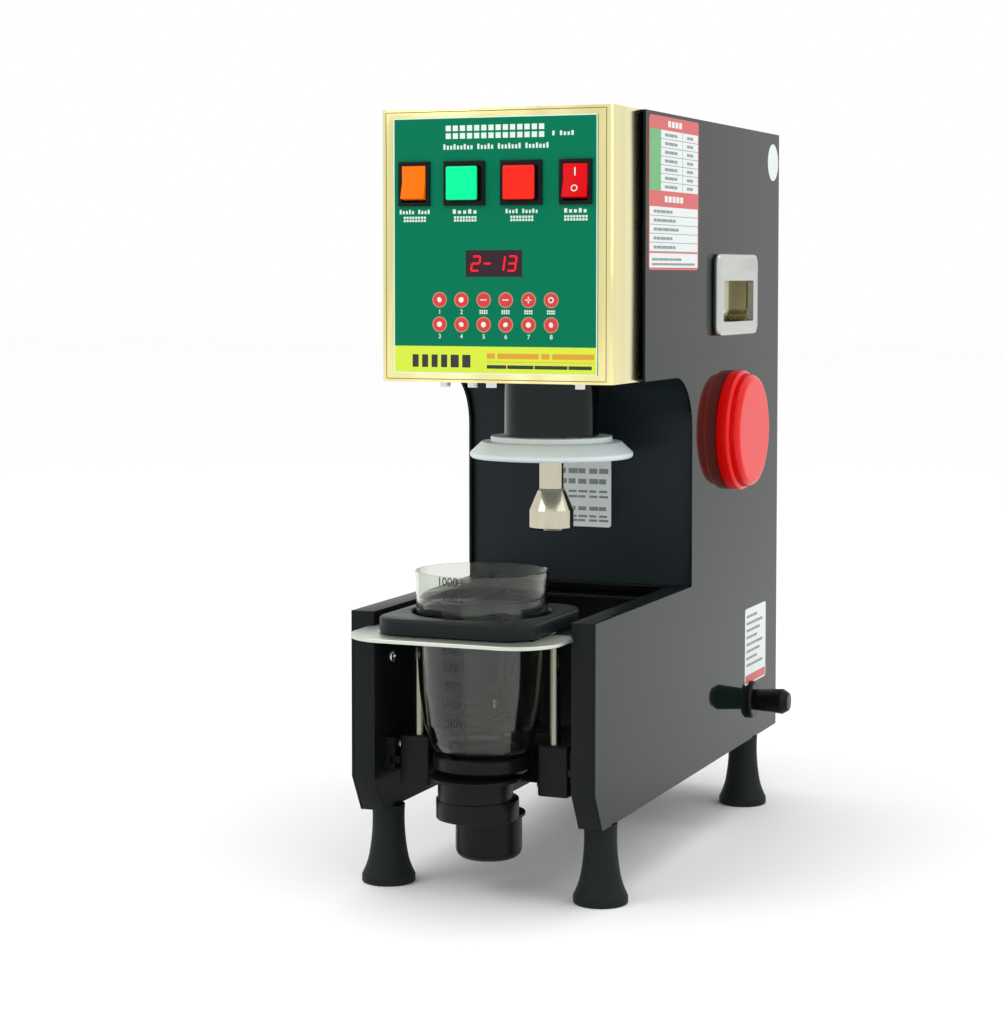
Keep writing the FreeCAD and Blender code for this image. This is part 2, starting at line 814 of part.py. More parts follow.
def turntable():
    spindle_bore = "spindle_radius + running_fit"
    body = rod("bearing_radius", "flange_bottom - bearing_bottom", (0, "-housing_reach", "bearing_bottom"))
    flange = rod("flange_radius", "flange_top - flange_bottom", (0, "-housing_reach", "flange_bottom"))
    lug = block(("-lug_half", "lug_half"), ("-housing_reach", "-yoke_back"), ("frame_bottom", "flange_bottom"))
    bore = rod(spindle_bore, "flange_top", (0, "-cup_reach", "bearing_bottom - 5"))
    node(cut(fused(body, flange, lug), bore), "turntable_bearing")

    box = rod("gearbox_radius", "bearing_bottom - gearbox_bottom", (0, "-gearbox_reach", "gearbox_bottom"))
    box_bore = rod(spindle_bore, "flange_top", (0, "-cup_reach", "spindle_bottom - gap"))
    node(cut(box, box_bore), "turntable_gearbox")

    at = (0, "-motor_cap_reach", 0)
    lip = "gearbox_bottom - motor_cap_lip_height"
    node(lathe([
        (0, "motor_cap_bottom"),
        ("motor_cap_radius - motor_cap_round", "motor_cap_bottom", "motor_cap_round"),
        ("motor_cap_radius", "motor_cap_bottom + motor_cap_round"),
        ("motor_cap_radius", lip),
        ("motor_cap_lip", lip),
        ("motor_cap_lip", "gearbox_bottom"),
        ("motor_cap_radius - motor_cap_wall", "gearbox_bottom"),
        ("motor_cap_radius - motor_cap_wall", "motor_cap_bottom + motor_cap_round",
         "-(motor_cap_round - motor_cap_wall)"),
        ("motor_cap_radius - motor_cap_round", "motor_cap_bottom + motor_cap_wall"),
        (0, "motor_cap_bottom + motor_cap_wall"),
    ], at), "motor_cap")
    node(rod("motor_cap_radius - 5", "gearbox_bottom - motor_cap_bottom - 6",
             (0, "-motor_cap_reach", "motor_cap_bottom + 6")), "turntable_motor")

    node(lathe([
        (0, "spindle_bottom"),
        ("spindle_radius", "spindle_bottom"),
        ("spindle_radius", "flange_top + gap"),
        ("collar_radius", "flange_top + gap"),
        ("collar_radius", "seat_bottom"),
        (0, "seat_bottom"),
    ], CUP_AXIS), "turntable_spindle")
    seat_top = "seat_bottom + seat_thickness"
    node(lathe([
        (0, "seat_bottom"),
        ("seat_radius - 3", "seat_bottom"),
        ("seat_radius", "seat_bottom + 3"),
        ("seat_radius", f"{seat_top} - 1"),
        ("seat_radius - 1", seat_top),
        (0, seat_top),
    ], CUP_AXIS), "cup_seat")


# ---- lid and pestle ----

LID_TOP = "lid_bottom + lid_height"
GUIDE_RADIUS = "rod_radius + guide_wall"


def lid():
    groove_top = "lid_bottom + gasket_depth"
    node(lathe([
        ("lid_hole", "lid_bottom"),
        ("gasket_inner", "lid_bottom"),
        ("gasket_inner", groove_top),
        ("gasket_outer", groove_top),
        ("gasket_outer", "lid_bottom"),
        ("lid_radius - 1.5", "lid_bottom"),
        ("lid_radius", "lid_bottom + 1.5"),
        ("lid_radius", "lid_bottom + lid_rim_height"),
        ("lid_step_radius", "lid_bottom + lid_step_height"),
        ("lid_crown_radius", "lid_bottom + lid_step_height + 0.6"),
        ("lid_crown_radius", LID_TOP),
        ("lid_hole", LID_TOP),
    ]), "lid_disc")
    node(tube("gasket_outer", "gasket_inner", "lid_bottom - gasket_proud", groove_top), "lid_gasket")
    node(lathe([
        ("lid_tube_radius - lid_tube_wall", LID_TOP),
        ("lid_tube_radius", LID_TOP),
        ("lid_tube_radius", "lid_tube_top"),
        ("lid_rack_inner - 2", "lid_tube_top"),
        ("lid_rack_inner - 2", "lid_tube_top - 4"),
        ("lid_tube_radius - lid_tube_wall", "lid_tube_top - 4"),
    ]), "lid_tube")
    node(lathe([
        ("lid_tube_radius + running_fit", "sleeve_bottom"),
        ("sleeve_radius", "sleeve_bottom"),
        ("sleeve_radius", "throat_top + gauge"),
        ("sleeve_flange", "throat_top + gauge"),
        ("sleeve_flange", "throat_top + gauge + 3"),
        ("lid_tube_radius + running_fit", "throat_top + gauge + 3"),
    ]), "guide_sleeve")


def pestle():
    node(lathe([
        ("spigot_radius", "head_bottom + 2"),
        (0, "head_bottom + 2"),
        (0, "head_bottom"),
        ("head_radius - 1.5", "head_bottom"),
        ("head_radius", "head_bottom + 1.5"),
        ("head_radius", "head_bottom + head_straight"),
        ("rod_radius + 1.5", "head_bottom + head_straight + head_cone"),
        ("rod_radius", "head_bottom + head_straight + head_cone + 2"),
        ("rod_radius", "head_bottom + head_straight + head_cone + 4"),
        ("spigot_radius", "head_bottom + head_straight + head_cone + 4"),
    ]), "pestle_head")
    node(tube(GUIDE_RADIUS, "rod_radius + running_fit", "guide_bottom", "shelf_bottom + shelf_thickness"),
         "rod_guide")


# ---- rack drives in the head ----

SHELF_TOP = "shelf_bottom + shelf_thickness"


def pitch_radius(teeth):
    return f"{teeth} * gear_pitch / {2 * math.pi:.6f}"


POUND_RADIUS = pitch_radius("pound_teeth")
POUND_AXIS_Y = f"rod_flat - addendum + {POUND_RADIUS}"
POUND_AXIS_Z = f"{SHELF_TOP} + gap + pound_gearbox_radius"
LID_RADIUS = pitch_radius("lid_teeth")
LID_AXIS_X = f"lid_rack_inner + lid_rack_width - addendum + {LID_RADIUS}"
LID_AXIS_Z = f"{SHELF_TOP} + gap + lid_gearbox_radius"
FLANK = 0.36


def tooth_space(body, plane, tip, inward, level, half_width):
    """Cut one space between rack teeth. The teeth's tips stand at tip, and inward is -1 or 1."""
    depth = "(addendum + dedendum)"
    at_tip = f"gear_pitch * (1 - tooth_share) / 2 + {FLANK} * addendum"
    at_root = f"gear_pitch * (1 - tooth_share) / 2 - {FLANK} * dedendum"
    sketch = sketch_outline(body, plane, [
        (tip, f"{level} - ({at_tip})"),
        (tip, f"{level} + {at_tip}"),
        (f"{tip} + {inward} * {depth}", f"{level} + {at_root}"),
        (f"{tip} + {inward} * {depth}", f"{level} - ({at_root})"),
    ])
    space = body.newObject("PartDesign::Pocket", "ToothSpace")
    space.Profile = sketch
    space.Midplane = True
    bind(space, Length=f"2 * ({half_width})")
    return space


def repeat_upwards(body, feature, count):
    pattern = body.newObject("PartDesign::LinearPattern", "Teeth")
    pattern.Originals = [feature]
    axis = next(f for f in body.Origin.OriginFeatures if f.Role == "Z_Axis")
    pattern.Direction = (axis, [""])
    bind(pattern, Length=f"gear_pitch * ({count} - 1)", Occurrences=count)
    body.Tip = pattern
    doc.recompute()


def pestle_rod():
    """The pounding rod: round, with a rack cut along the flat on its back."""
    body = doc.addObject("PartDesign::Body", "PestleRod")
    shoulder = "head_bottom + head_straight + head_cone + 4"
    sketch = sketch_outline(body, "XZ", [
        (0, "head_bottom + 2"),
        ("spigot_radius", "head_bottom + 2"),
        ("spigot_radius", shoulder),
        ("rod_radius", shoulder),
        ("rod_radius", "rod_top - 1.5"),
        ("rod_radius - 1.5", "rod_top"),
        (0, "rod_top"),
    ])
    turned = body.newObject("PartDesign::Revolution", "Revolution")
    turned.Profile = sketch
    turned.ReferenceAxis = (sketch, ["V_Axis"])
    turned.Angle = 360
    flat = sketch_outline(body, "YZ", [
        ("rod_flat", f"{POUND_AXIS_Z} - 3 * gear_pitch"),
        ("rod_radius + 1", f"{POUND_AXIS_Z} - 3 * gear_pitch"),
        ("rod_radius + 1", "rod_top + 1"),
        ("rod_flat", "rod_top + 1"),
    ])
    pocket = body.newObject("PartDesign::Pocket", "Flat")
    pocket.Profile = flat
    pocket.Midplane = True
    bind(pocket, Length="4 * rod_radius")
    space = tooth_space(body, "YZ", "rod_flat", -1, f"{POUND_AXIS_Z} - gear_pitch", "rod_radius")
    repeat_upwards(body, space, f"floor((rod_top - ({POUND_AXIS_Z})) / gear_pitch) + 2")
    node(put(body, (0, 0, 0)), "pestle_rod")


def lid_rack():
    """The flat bar on the lid's tube, with teeth on its outer edge."""
    body = doc.addObject("PartDesign::Body", "LidRack")
    outer = "lid_rack_inner + lid_rack_width"
    sketch = sketch_outline(body, "XZ", [
        ("lid_rack_inner", "lid_tube_top"),
        (outer, "lid_tube_top"),
        (outer, "lid_rack_top"),
        ("lid_rack_inner", "lid_rack_top"),
    ])
    bar = body.newObject("PartDesign::Pad", "Bar")
    bar.Profile = sketch
    bar.Midplane = True
    bind(bar, Length="2 * lid_rack_half")
    space = tooth_space(body, "XZ", outer, -1, f"{LID_AXIS_Z} - gear_pitch", "lid_rack_half + 1")
    repeat_upwards(body, space, f"floor((lid_rack_top - ({LID_AXIS_Z})) / gear_pitch) + 1")
    node(put(body, (0, 0, 0)), "lid_rack")


def pinion(teeth, half, shaft, shaft_length, at, axis, turn, label):
    """A gear with its shaft. One tooth points along turn, in degrees, at the rack."""
    radius = pitch_radius(teeth)
    body = doc.addObject("PartDesign::Body", "Pinion")
    root = f"{radius} - dedendum"
    hub = sketch_outline(body, "XZ", [(0, f"-{half}"), (root, f"-{half}"), (root, half), (shaft, half),
                                      (shaft, f"{half} + {shaft_length}"), (0, f"{half} + {shaft_length}")])
    turned = body.newObject("PartDesign::Revolution", "Hub")
    turned.Profile = hub
    turned.ReferenceAxis = (hub, ["V_Axis"])
    turned.Angle = 360
    at_tip = f"gear_pitch * tooth_share / 2 - {FLANK} * addendum"
    at_root = f"gear_pitch * tooth_share / 2 + {FLANK} * dedendum"
    tooth = sketch_outline(body, "XY", [
        (f"{root} - 1", f"-({at_root})"),
        (root, f"-({at_root})"),
        (f"{radius} + addendum", f"-({at_tip})"),
        (f"{radius} + addendum", at_tip),
        (root, at_root),
        (f"{root} - 1", at_root),
    ])
    pad = body.newObject("PartDesign::Pad", "Tooth")
    pad.Profile = tooth
    pad.Midplane = True
    bind(pad, Length=f"2 * {half}")
    pattern = body.newObject("PartDesign::PolarPattern", "Teeth")
    pattern.Originals = [pad]
    pattern.Axis = (next(f for f in body.Origin.OriginFeatures if f.Role == "Z_Axis"), [""])
    pattern.Angle = 360
    bind(pattern, Occurrences=teeth)
    body.Tip = pattern
    doc.recompute()
    put(body, at, axis)
    body.Placement = FreeCAD.Placement(V(), TURN[axis] * FreeCAD.Rotation(V(0, 0, 1), turn))
    node(body, label)


def gear_motor(gearbox, motor, bore, face, axis, direction, at):
    """A gearbox with a motor behind it and a blind bore for the pinion's shaft."""
    gearbox_radius, gearbox_length = gearbox
    motor_radius, motor_length = motor
    far = f"{face} + {direction} * {gearbox_length}"
    end = f"{far} + {direction} * {motor_length}"
    low_box, low_motor, low_bore = (face, far, face) if direction > 0 else (far, end, f"{face} - shaft_bore_depth")

    def place(along):
        return (along, *at) if axis == "X" else (at[0], along, at[1])

    body = fused(rod(gearbox_radius, gearbox_length, place(low_box), axis),
                 rod(motor_radius, motor_length, place(low_motor), axis))
    return cut(body, rod(bore, "shaft_bore_depth", place(low_bore), axis))


def drives():
    shelf = block(("-shelf_half", "shelf_half"), ("-shelf_front", "shelf_back"), ("shelf_bottom", SHELF_TOP))
    guide_hole = rod(GUIDE_RADIUS, "shelf_thickness + 2", (0, 0, "shelf_bottom - 1"))
    rack_hole = block(("lid_rack_inner - 1", "lid_rack_inner + lid_rack_width + 1"),
                      ("-lid_rack_half - 1", "lid_rack_half + 1"), ("shelf_bottom - 1", f"{SHELF_TOP} + 1"))
    node(cut(shelf, guide_hole, rack_hole), "drive_shelf")
    pillars = [rod("pillar_radius", "shelf_bottom - throat_top - gauge",
                   (f"{side} * pillar_place", y, "throat_top + gauge"))
               for side in (-1, 1) for y in ("-pillar_front", "pillar_back")]
    node(group(*pillars), "shelf_pillars")

    pinion("pound_teeth", "pound_gear_half", "pound_shaft", "pound_shaft_length", (0, POUND_AXIS_Y, POUND_AXIS_Z), "-X", 90,
           "pound_pinion")
    pinion("lid_teeth", "lid_gear_half", "lid_shaft", "lid_shaft_length", (LID_AXIS_X, 0, LID_AXIS_Z), "Y", 180,
           "lid_pinion")

    pound_face = "-pound_gear_half - 6 - bracket_thickness"
    node(gear_motor(("pound_gearbox_radius", "pound_gearbox_length"), ("pound_motor_radius", "pound_motor_length"),
                    "pound_shaft + running_fit", pound_face, "X", -1, (POUND_AXIS_Y, POUND_AXIS_Z)), "pound_motor")
    lid_face = "lid_gear_half + 1 + bracket_thickness"
    node(gear_motor(("lid_gearbox_radius", "lid_gearbox_length"), ("lid_gearbox_radius - 2", "lid_motor_length"),
                    "lid_shaft + running_fit", lid_face, "Y", 1, (LID_AXIS_X, LID_AXIS_Z)), "lid_motor")

    pound_plate = cut(
        block((pound_face, f"{pound_face} + bracket_thickness"),
              (f"{POUND_AXIS_Y} - pound_gearbox_radius", f"{POUND_AXIS_Y} + pound_gearbox_radius"),
              (SHELF_TOP, f"{POUND_AXIS_Z} + pound_gearbox_radius")),
        rod("pound_shaft + 1", 10, (f"{pound_face} - 4", POUND_AXIS_Y, POUND_AXIS_Z), "X"))
    lid_plate = cut(
        block((f"{LID_AXIS_X} - lid_gearbox_radius", f"{LID_AXIS_X} + lid_gearbox_radius"),
              (f"{lid_face} - bracket_thickness", lid_face),
              (SHELF_TOP, f"{LID_AXIS_Z} + lid_gearbox_radius")),
        rod("lid_shaft + 1", 10, (LID_AXIS_X, f"{lid_face} - 6", LID_AXIS_Z), "Y"))
    node(group(pound_plate, lid_plate), "motor_brackets")


# ---- right side fittings ----

def palm_button():
    """A wide push pad in a bezel, on a stem that runs through a threaded barrel."""
    at = (0, "palm_place", "palm_level")
    stem_bore = "palm_stem_radius + running_fit"
    node(lathe([
        (stem_bore, f"{PANEL_FACE} - palm_barrel_length"),
        ("palm_barrel_radius", f"{PANEL_FACE} - palm_barrel_length"),
        ("palm_barrel_radius", PANEL_FACE),
        ("palm_bezel_radius", PANEL_FACE),
        ("palm_bezel_radius", f"{PANEL_FACE} + palm_bezel_height - 2"),
        ("palm_bezel_radius - 2", f"{PANEL_FACE} + palm_bezel_height"),
        ("palm_radius + gap", f"{PANEL_FACE} + palm_bezel_height"),
        ("palm_radius + gap", f"{PANEL_FACE} + 2"),
        (stem_bore, f"{PANEL_FACE} + 2"),
    ], at, "X"), "palm_bezel")
    rear = f"{PANEL_FACE} + 2 + palm_rear_gap"
    top = f"{PANEL_FACE} + palm_height"
    node(lathe([
        (0, f"{PANEL_FACE} - palm_barrel_length + 4"),
        ("palm_stem_radius", f"{PANEL_FACE} - palm_barrel_length + 4"),
        ("palm_stem_radius", rear),
        ("palm_radius", rear),
        ("palm_radius", f"{top} - palm_round", "palm_round"),
        ("palm_radius - palm_round", top),
        (0, top),
    ], at, "X"), "palm_button")


def carrying_recesses():
    """Bright plates with a finger pocket let into the side."""
    face = f"{PANEL_FACE} + handle_proud"
    frame = block((PANEL_FACE, face), ("handle_front", "handle_back"), ("handle_low", "handle_high"))
    pocket = block((f"{PANEL_FACE} - pocket_depth", PANEL_FACE),
                   ("pocket_front - pocket_wall", "pocket_back + pocket_wall"),
                   ("pocket_low - pocket_wall", "pocket_high + pocket_wall"))
    hollow = block((f"{PANEL_FACE} - pocket_depth + pocket_wall", f"{face} + 1"),
                   ("pocket_front", "pocket_back"), ("pocket_low", "pocket_high"))
    right = cut(fused(frame, pocket), hollow)
    node(right, "carry_recess_right")
    node(mirrored(right), "carry_recess_left")


def side_knob():
    """A hand knob that turns in a flanged bush."""
    at = (0, "knob_place", "knob_level")
    bore = "knob_shaft_radius + running_fit"
    inner_end = f"{PANEL_FACE} - knob_bush_length"
    flange_top = f"{PANEL_FACE} + knob_flange_height"
    node(lathe([
        (bore, inner_end),
        ("knob_bush_radius", inner_end),
        ("knob_bush_radius", PANEL_FACE),
        ("knob_flange_radius", PANEL_FACE),
        ("knob_flange_radius", f"{flange_top} - 1.5"),
        ("knob_flange_radius - 1.5", flange_top),
        (bore, flange_top),
    ], at, "X"), "knob_bush")
    tip = f"{PANEL_FACE} + knob_reach"
    node(lathe([
        (0, f"{inner_end} + 3"),
        ("knob_shaft_radius", f"{inner_end} + 3"),
        ("knob_shaft_radius", f"{flange_top} + gap"),
        ("knob_neck_radius", f"{flange_top} + gap"),
        ("knob_grip_radius", f"{tip} - 6"),
        ("knob_grip_radius - 3.5", tip),
        (0, tip),
    ], at, "X"), "side_knob")


def electrics():
    node(block(("-supply_half", "supply_half"), (f"{REAR_INSIDE} - supply_depth", REAR_INSIDE),
               ("supply_low", "supply_high")), "power_supply")
    body = block(("-inlet_half_width", "inlet_half_width"), ("body_back - inlet_depth", "body_back"),
                 ("inlet_level - inlet_half_height", "inlet_level + inlet_half_height"))
    flange = block(("-inlet_half_width - inlet_margin", "inlet_half_width + inlet_margin"),
                   ("body_back", "body_back + inlet_flange"),
                   ("inlet_level - inlet_half_height - inlet_margin",
                    "inlet_level + inlet_half_height + inlet_margin"))
    socket = block(("-socket_half_width", "socket_half_width"),
                   ("body_back - socket_depth", "body_back + inlet_flange + 1"),
                   ("inlet_level - socket_half_height", "inlet_level + socket_half_height"))
    node(cut(fused(body, flange), socket), "power_inlet")
    floor_top = "body_bottom + gauge"
    node(block(("-driver_half", "driver_half"), ("driver_front", "driver_back"),
               (f"{floor_top} + driver_standoff", f"{floor_top} + driver_standoff + board_thickness")),
         "driver_board")
    posts = [rod("standoff_radius", "driver_standoff", (f"{side} * (driver_half - 6)", y, floor_top))
             for side in (-1, 1) for y in ("driver_front + 6", "driver_back - 6")]
    posts += [rod("standoff_radius", "board_setback - cover_gauge",
                  (f"{side} * (board_half - 6)", "cover_gauge - cover_front", z), "Y")
              for side in (-1, 1) for z in ("board_low + 6", "board_high - 6")]
    node(group(*posts), "board_standoffs")


casing()
base_cheeks()
feet()
deck()
rails()
wall_screws()
head_cover()
control_panel()
cup()
cup_ring()
carriage()
turntable()
lid()
pestle()
pestle_rod()
lid_rack()
drives()
palm_button()
carrying_recesses()
side_knob()
electrics()
doc.recompute()

for thing in doc.Objects:
    if "Invalid" in thing.State or "Error" in thing.State:
        raise RuntimeError(f"{thing.Label} ({thing.Name}) failed: {thing.State}")
for piece in nodes:
    if piece.Shape.isNull() or not piece.Shape.isValid() or not piece.Shape.Solids:
        raise RuntimeError(f"{piece.Label} has no valid solid")

# The origin goes to the middle of the whole outline: from the left feet to the knob, and from the
# deck's lip to the inlet's flange.
middle = V(-number("(body_width / 2 + knob_reach - foot_place - foot_bottom_radius) / 2"),
           -number("(body_back + inlet_flange - deck_front) / 2"), 0)
os.makedirs("parts", exist_ok=True)
for piece in nodes:
    piece.Shape.translated(middle).exportStep(f"parts/{piece.Label}.step")
    print(f"{piece.Label}: {len(piece.Shape.Solids)} solids, {piece.Shape.Volume / 1000:.1f} cm3")
print(len(nodes), "pieces")
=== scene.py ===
# %% [markdown]
# # A fruit pounding machine for the counter
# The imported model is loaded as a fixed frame. Every new piece below is made where the frame says,
# in metres, and rides on one of its moving bodies.

# %% Load the frame
import bmesh
import bpy
import json
import math
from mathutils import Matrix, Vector


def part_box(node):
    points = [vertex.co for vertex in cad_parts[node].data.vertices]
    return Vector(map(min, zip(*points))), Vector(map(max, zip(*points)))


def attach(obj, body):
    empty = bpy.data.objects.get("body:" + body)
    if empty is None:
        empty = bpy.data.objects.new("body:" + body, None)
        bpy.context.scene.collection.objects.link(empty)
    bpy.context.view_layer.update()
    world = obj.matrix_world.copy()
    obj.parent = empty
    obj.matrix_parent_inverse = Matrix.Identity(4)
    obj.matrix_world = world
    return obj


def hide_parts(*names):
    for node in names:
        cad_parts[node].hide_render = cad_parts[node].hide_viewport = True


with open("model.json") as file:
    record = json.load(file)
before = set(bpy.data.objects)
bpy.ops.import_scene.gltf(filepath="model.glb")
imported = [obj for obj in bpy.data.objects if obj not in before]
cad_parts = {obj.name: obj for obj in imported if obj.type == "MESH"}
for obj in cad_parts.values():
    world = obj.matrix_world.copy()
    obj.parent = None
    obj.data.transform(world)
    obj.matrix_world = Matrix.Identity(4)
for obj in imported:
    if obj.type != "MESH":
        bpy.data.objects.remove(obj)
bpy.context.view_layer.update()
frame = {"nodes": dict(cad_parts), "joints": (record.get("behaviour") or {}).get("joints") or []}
MM = 0.001
pestle_low, pestle_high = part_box("pestle_head")
AXIS = Vector(((pestle_low.x + pestle_high.x) / 2, (pestle_low.y + pestle_high.y) / 2, 0))

# %% [markdown]
# ## Camera, light and floor
# The machine is seen from its right front corner, a little from above the middle. A small lens shift
# keeps its upright edges upright. White surroundings do most of the work, because the side panel is
# black and glossy: what is seen on it is mostly the white room.

# %% Camera
EYE = AXIS + Vector((0.72432, -1.88201, 0.489113))
TURN_TO_LEFT = math.radians(22.216)
LOOK_DOWN = math.radians(3.192)
FOCAL_LENGTH = 84.96
LENS_SHIFT = -0.10
bpy.ops.object.select_all(action="DESELECT")
bpy.ops.object.camera_add(location=EYE, rotation=(math.radians(90) - LOOK_DOWN, 0, TURN_TO_LEFT))
camera = bpy.context.object
camera.data.lens = FOCAL_LENGTH
camera.data.shift_y = LENS_SHIFT
bpy.context.scene.camera = camera
print("camera at", [round(c, 2) for c in EYE], "with a", FOCAL_LENGTH, "mm lens")

# %% [markdown]
# A wide lamp gives a shadow with a soft edge. The strongest stands in front on the left, one on the
# right brightens the side panel, and one overhead lights the lid and the deck.

# %% Light and floor
FLOOR_SIZE = 30
LAMPS = {  # name: (place, size in metres, watts, turn in degrees)
    "key": ((-1.3, -1.6, 1.9), 1.4, 13, (52, 0, -38)),
    "right": ((1.9, -0.3, 1.1), 1.6, 5, (62, 0, 82)),
    "top": ((0.1, 0.2, 2.3), 1.6, 7, (0, 0, 0)),
}
for place, size, watts, turn in LAMPS.values():
    bpy.ops.object.light_add(type="AREA", location=place, rotation=[math.radians(a) for a in turn])
    bpy.context.object.data.size = size
    bpy.context.object.data.energy = watts
world = bpy.data.worlds.new("white room")
world.use_nodes = True
world.node_tree.nodes["Background"].inputs["Color"].default_value = (1, 1, 1, 1)
world.node_tree.nodes["Background"].inputs["Strength"].default_value = 1.0
bpy.context.scene.world = world
bpy.context.scene.view_settings.view_transform = "Standard"
bpy.ops.mesh.primitive_plane_add(size=FLOOR_SIZE)
floor = bpy.context.object
floor.name = "floor"
print(len(LAMPS), "lamps over a floor", FLOOR_SIZE, "m wide")

# %% [markdown]
# ## A short way to write materials
# A material is a network of small nodes. Written out, each sum takes four lines, so a socket is
# wrapped: `streaks * 0.3 + 0.2` then adds the two Math nodes by itself, and one method adds every
# other kind of node.


# %% Sockets that can be added and multiplied
class Wire:
    def __init__(self, finish, socket):
        self.finish, self.socket = finish, socket

    def sum(self, operation, first, second):
        return self.finish.node("ShaderNodeMath", {"operation": operation}, {0: first, 1: second})

    def __add__(self, other): return self.sum("ADD", self, other)
    def __radd__(self, other): return self.sum("ADD", other, self)
    def __sub__(self, other): return self.sum("SUBTRACT", self, other)
    def __rsub__(self, other): return self.sum("SUBTRACT", other, self)
    def __mul__(self, other): return self.sum("MULTIPLY", self, other)
    def __rmul__(self, other): return self.sum("MULTIPLY", other, self)


class Finish:
    """One material: a Principled shader and what feeds it."""

    def __init__(self, name, colour, roughness, **fixed):
        self.material = bpy.data.materials.new(name)
        self.material.use_nodes = True
        self.tree = self.material.node_tree
        self.shader = self.tree.nodes["Principled BSDF"]
        self.colour = paint_value(colour)
        self.fix("Base Color", self.colour)
        self.fix("Roughness", roughness)
        for socket, value in fixed.items():
            self.fix(socket.replace("_", " "), value)

    def fix(self, socket, value):
        self.shader.inputs[socket].default_value = value

    def node(self, kind, settings=None, values=None, out=0):
        made = self.tree.nodes.new(kind)
        for name, value in (settings or {}).items():
            setattr(made, name, value)
        for name, value in (values or {}).items():
            if isinstance(value, Wire):
                self.tree.links.new(value.socket, made.inputs[name])
            else:
                made.inputs[name].default_value = value
        return Wire(self, made.outputs[out])

    def feed(self, socket, wire):
        self.tree.links.new(wire.socket, self.shader.inputs[socket])

    def place(self, scale=(1, 1, 1)):
        """Where on the machine a point is, in metres, stretched by scale."""
        here = self.node("ShaderNodeTexCoord", out="Object")
        return self.node("ShaderNodeMapping", values={"Vector": here, "Scale": scale})

    def noise(self, scale, detail=2.0, stretch=(1, 1, 1)):
        return self.node("ShaderNodeTexNoise", values={
            "Vector": self.place(stretch), "Scale": scale, "Detail": detail})

    def shade(self, amount, other):
        """Move the colour towards another one where amount is high."""
        mixed = self.node("ShaderNodeMix", {"data_type": "RGBA"}, {
            0: amount, 6: self.colour, 7: paint_value(other)}, out=2)
        self.feed("Base Color", mixed)

    def bump(self, height, distance, strength=1.0):
        self.feed("Normal", self.node("ShaderNodeBump", values={
            "Height": height, "Distance": distance, "Strength": strength}))


def paint_value(colour):
    """A colour given as screen values from 0 to 255, as the shader's linear light."""
    def linear(c):
        c /= 255
        return c / 12.92 if c <= 0.04045 else ((c + 0.055) / 1.055) ** 2.4
    return (*map(linear, colour), 1.0)


# %% [markdown]
# ## Finishes
# Most of the machine is sheet steel under paint. Sprayed paint is never quite flat: it has a fine
# orange peel, which bends reflections a little, and handling leaves faint dull patches.


# %% Painted and moulded finishes
def painted(name, colour, roughness, peel=0.00002, dust=(120, 124, 120), **fixed):
    finish = Finish(name, colour, roughness, **fixed)
    patches = finish.noise(9, 4)
    finish.feed("Roughness", patches * 0.06 + (roughness - 0.03))
    finish.shade(patches * 0.05, dust)
    finish.bump(finish.noise(420, 1), peel, 0.35)
    return finish


def moulded(name, colour, roughness, grain=1800, depth=0.00002, tint=0.82, **fixed):
    """Plastic or rubber with the fine grain of its mould."""
    finish = Finish(name, colour, roughness, **fixed)
    cloud = finish.noise(30, 3)
    finish.shade(cloud * 0.35, [c * tint for c in colour])
    finish.feed("Roughness", finish.noise(60, 3) * 0.12 + (roughness - 0.06))
    finish.bump(finish.noise(grain, 2), depth, 0.5)
    return finish


side_paint = painted("side_paint", (9, 22, 18), 0.05, peel=0.000002, dust=(60, 76, 70),
                     Specular_IOR_Level=0.12)
black_paint = painted("black_paint", (15, 19, 19), 0.34, dust=(70, 74, 72), Specular_IOR_Level=0.13)
liner_paint = painted("liner_paint", (20, 30, 35), 0.36, dust=(70, 80, 84), Specular_IOR_Level=0.18)
black_plastic = moulded("black_plastic", (15, 17, 17), 0.3, Specular_IOR_Level=0.14)
ring_plastic = moulded("ring_plastic", (20, 28, 30), 0.4, grain=900, Specular_IOR_Level=0.16)
rubber = moulded("rubber", (22, 29, 29), 0.6, grain=700, depth=0.00004, Specular_IOR_Level=0.16)
white_plastic = moulded("white_plastic", (220, 231, 233), 0.36, Subsurface_Weight=0.15,
                        Subsurface_Radius=(0.004, 0.004, 0.004))
palm_plastic = moulded("palm_plastic", (228, 3, 0), 0.24, depth=0.000001, tint=0.97, Specular_IOR_Level=0.3)
gasket_rubber = moulded("gasket_rubber", (196, 198, 194), 0.5)
green_film = moulded("green_film", (0, 113, 80), 0.45, grain=2600, depth=0.000006, tint=0.96,
                     Specular_IOR_Level=0.06)
board_green = moulded("board_green", (20, 92, 50), 0.4)


# %% [markdown]
# Brushed metal has fine scratches that all run one way. A noise squeezed hard along two axes and
# left long on the third gives those streaks, for the roughness and for a very low bump.


# %% Metal finishes
def brushed(name, colour, roughness, along=0, streak=0.16, darker=0.86, **fixed):
    finish = Finish(name, colour, roughness, Metallic=1.0, **fixed)
    stretch = [1.0, 1.0, 1.0]
    stretch[along] = 0.02
    streaks = finish.noise(1500, 2, stretch)
    finish.feed("Roughness", streaks * streak + (roughness - streak / 2))
    finish.shade(streaks * 0.6, [c * darker for c in colour])
    finish.bump(streaks, 0.00001, 0.3)
    return finish


def machined(name, colour, roughness, **fixed):
    finish = Finish(name, colour, roughness, Metallic=1.0, **fixed)
    finish.feed("Roughness", finish.noise(140, 3) * 0.1 + (roughness - 0.05))
    finish.shade(finish.noise(25, 3) * 0.5, [c * 0.88 for c in colour])
    finish.bump(finish.noise(900, 2), 0.000006, 0.4)
    return finish


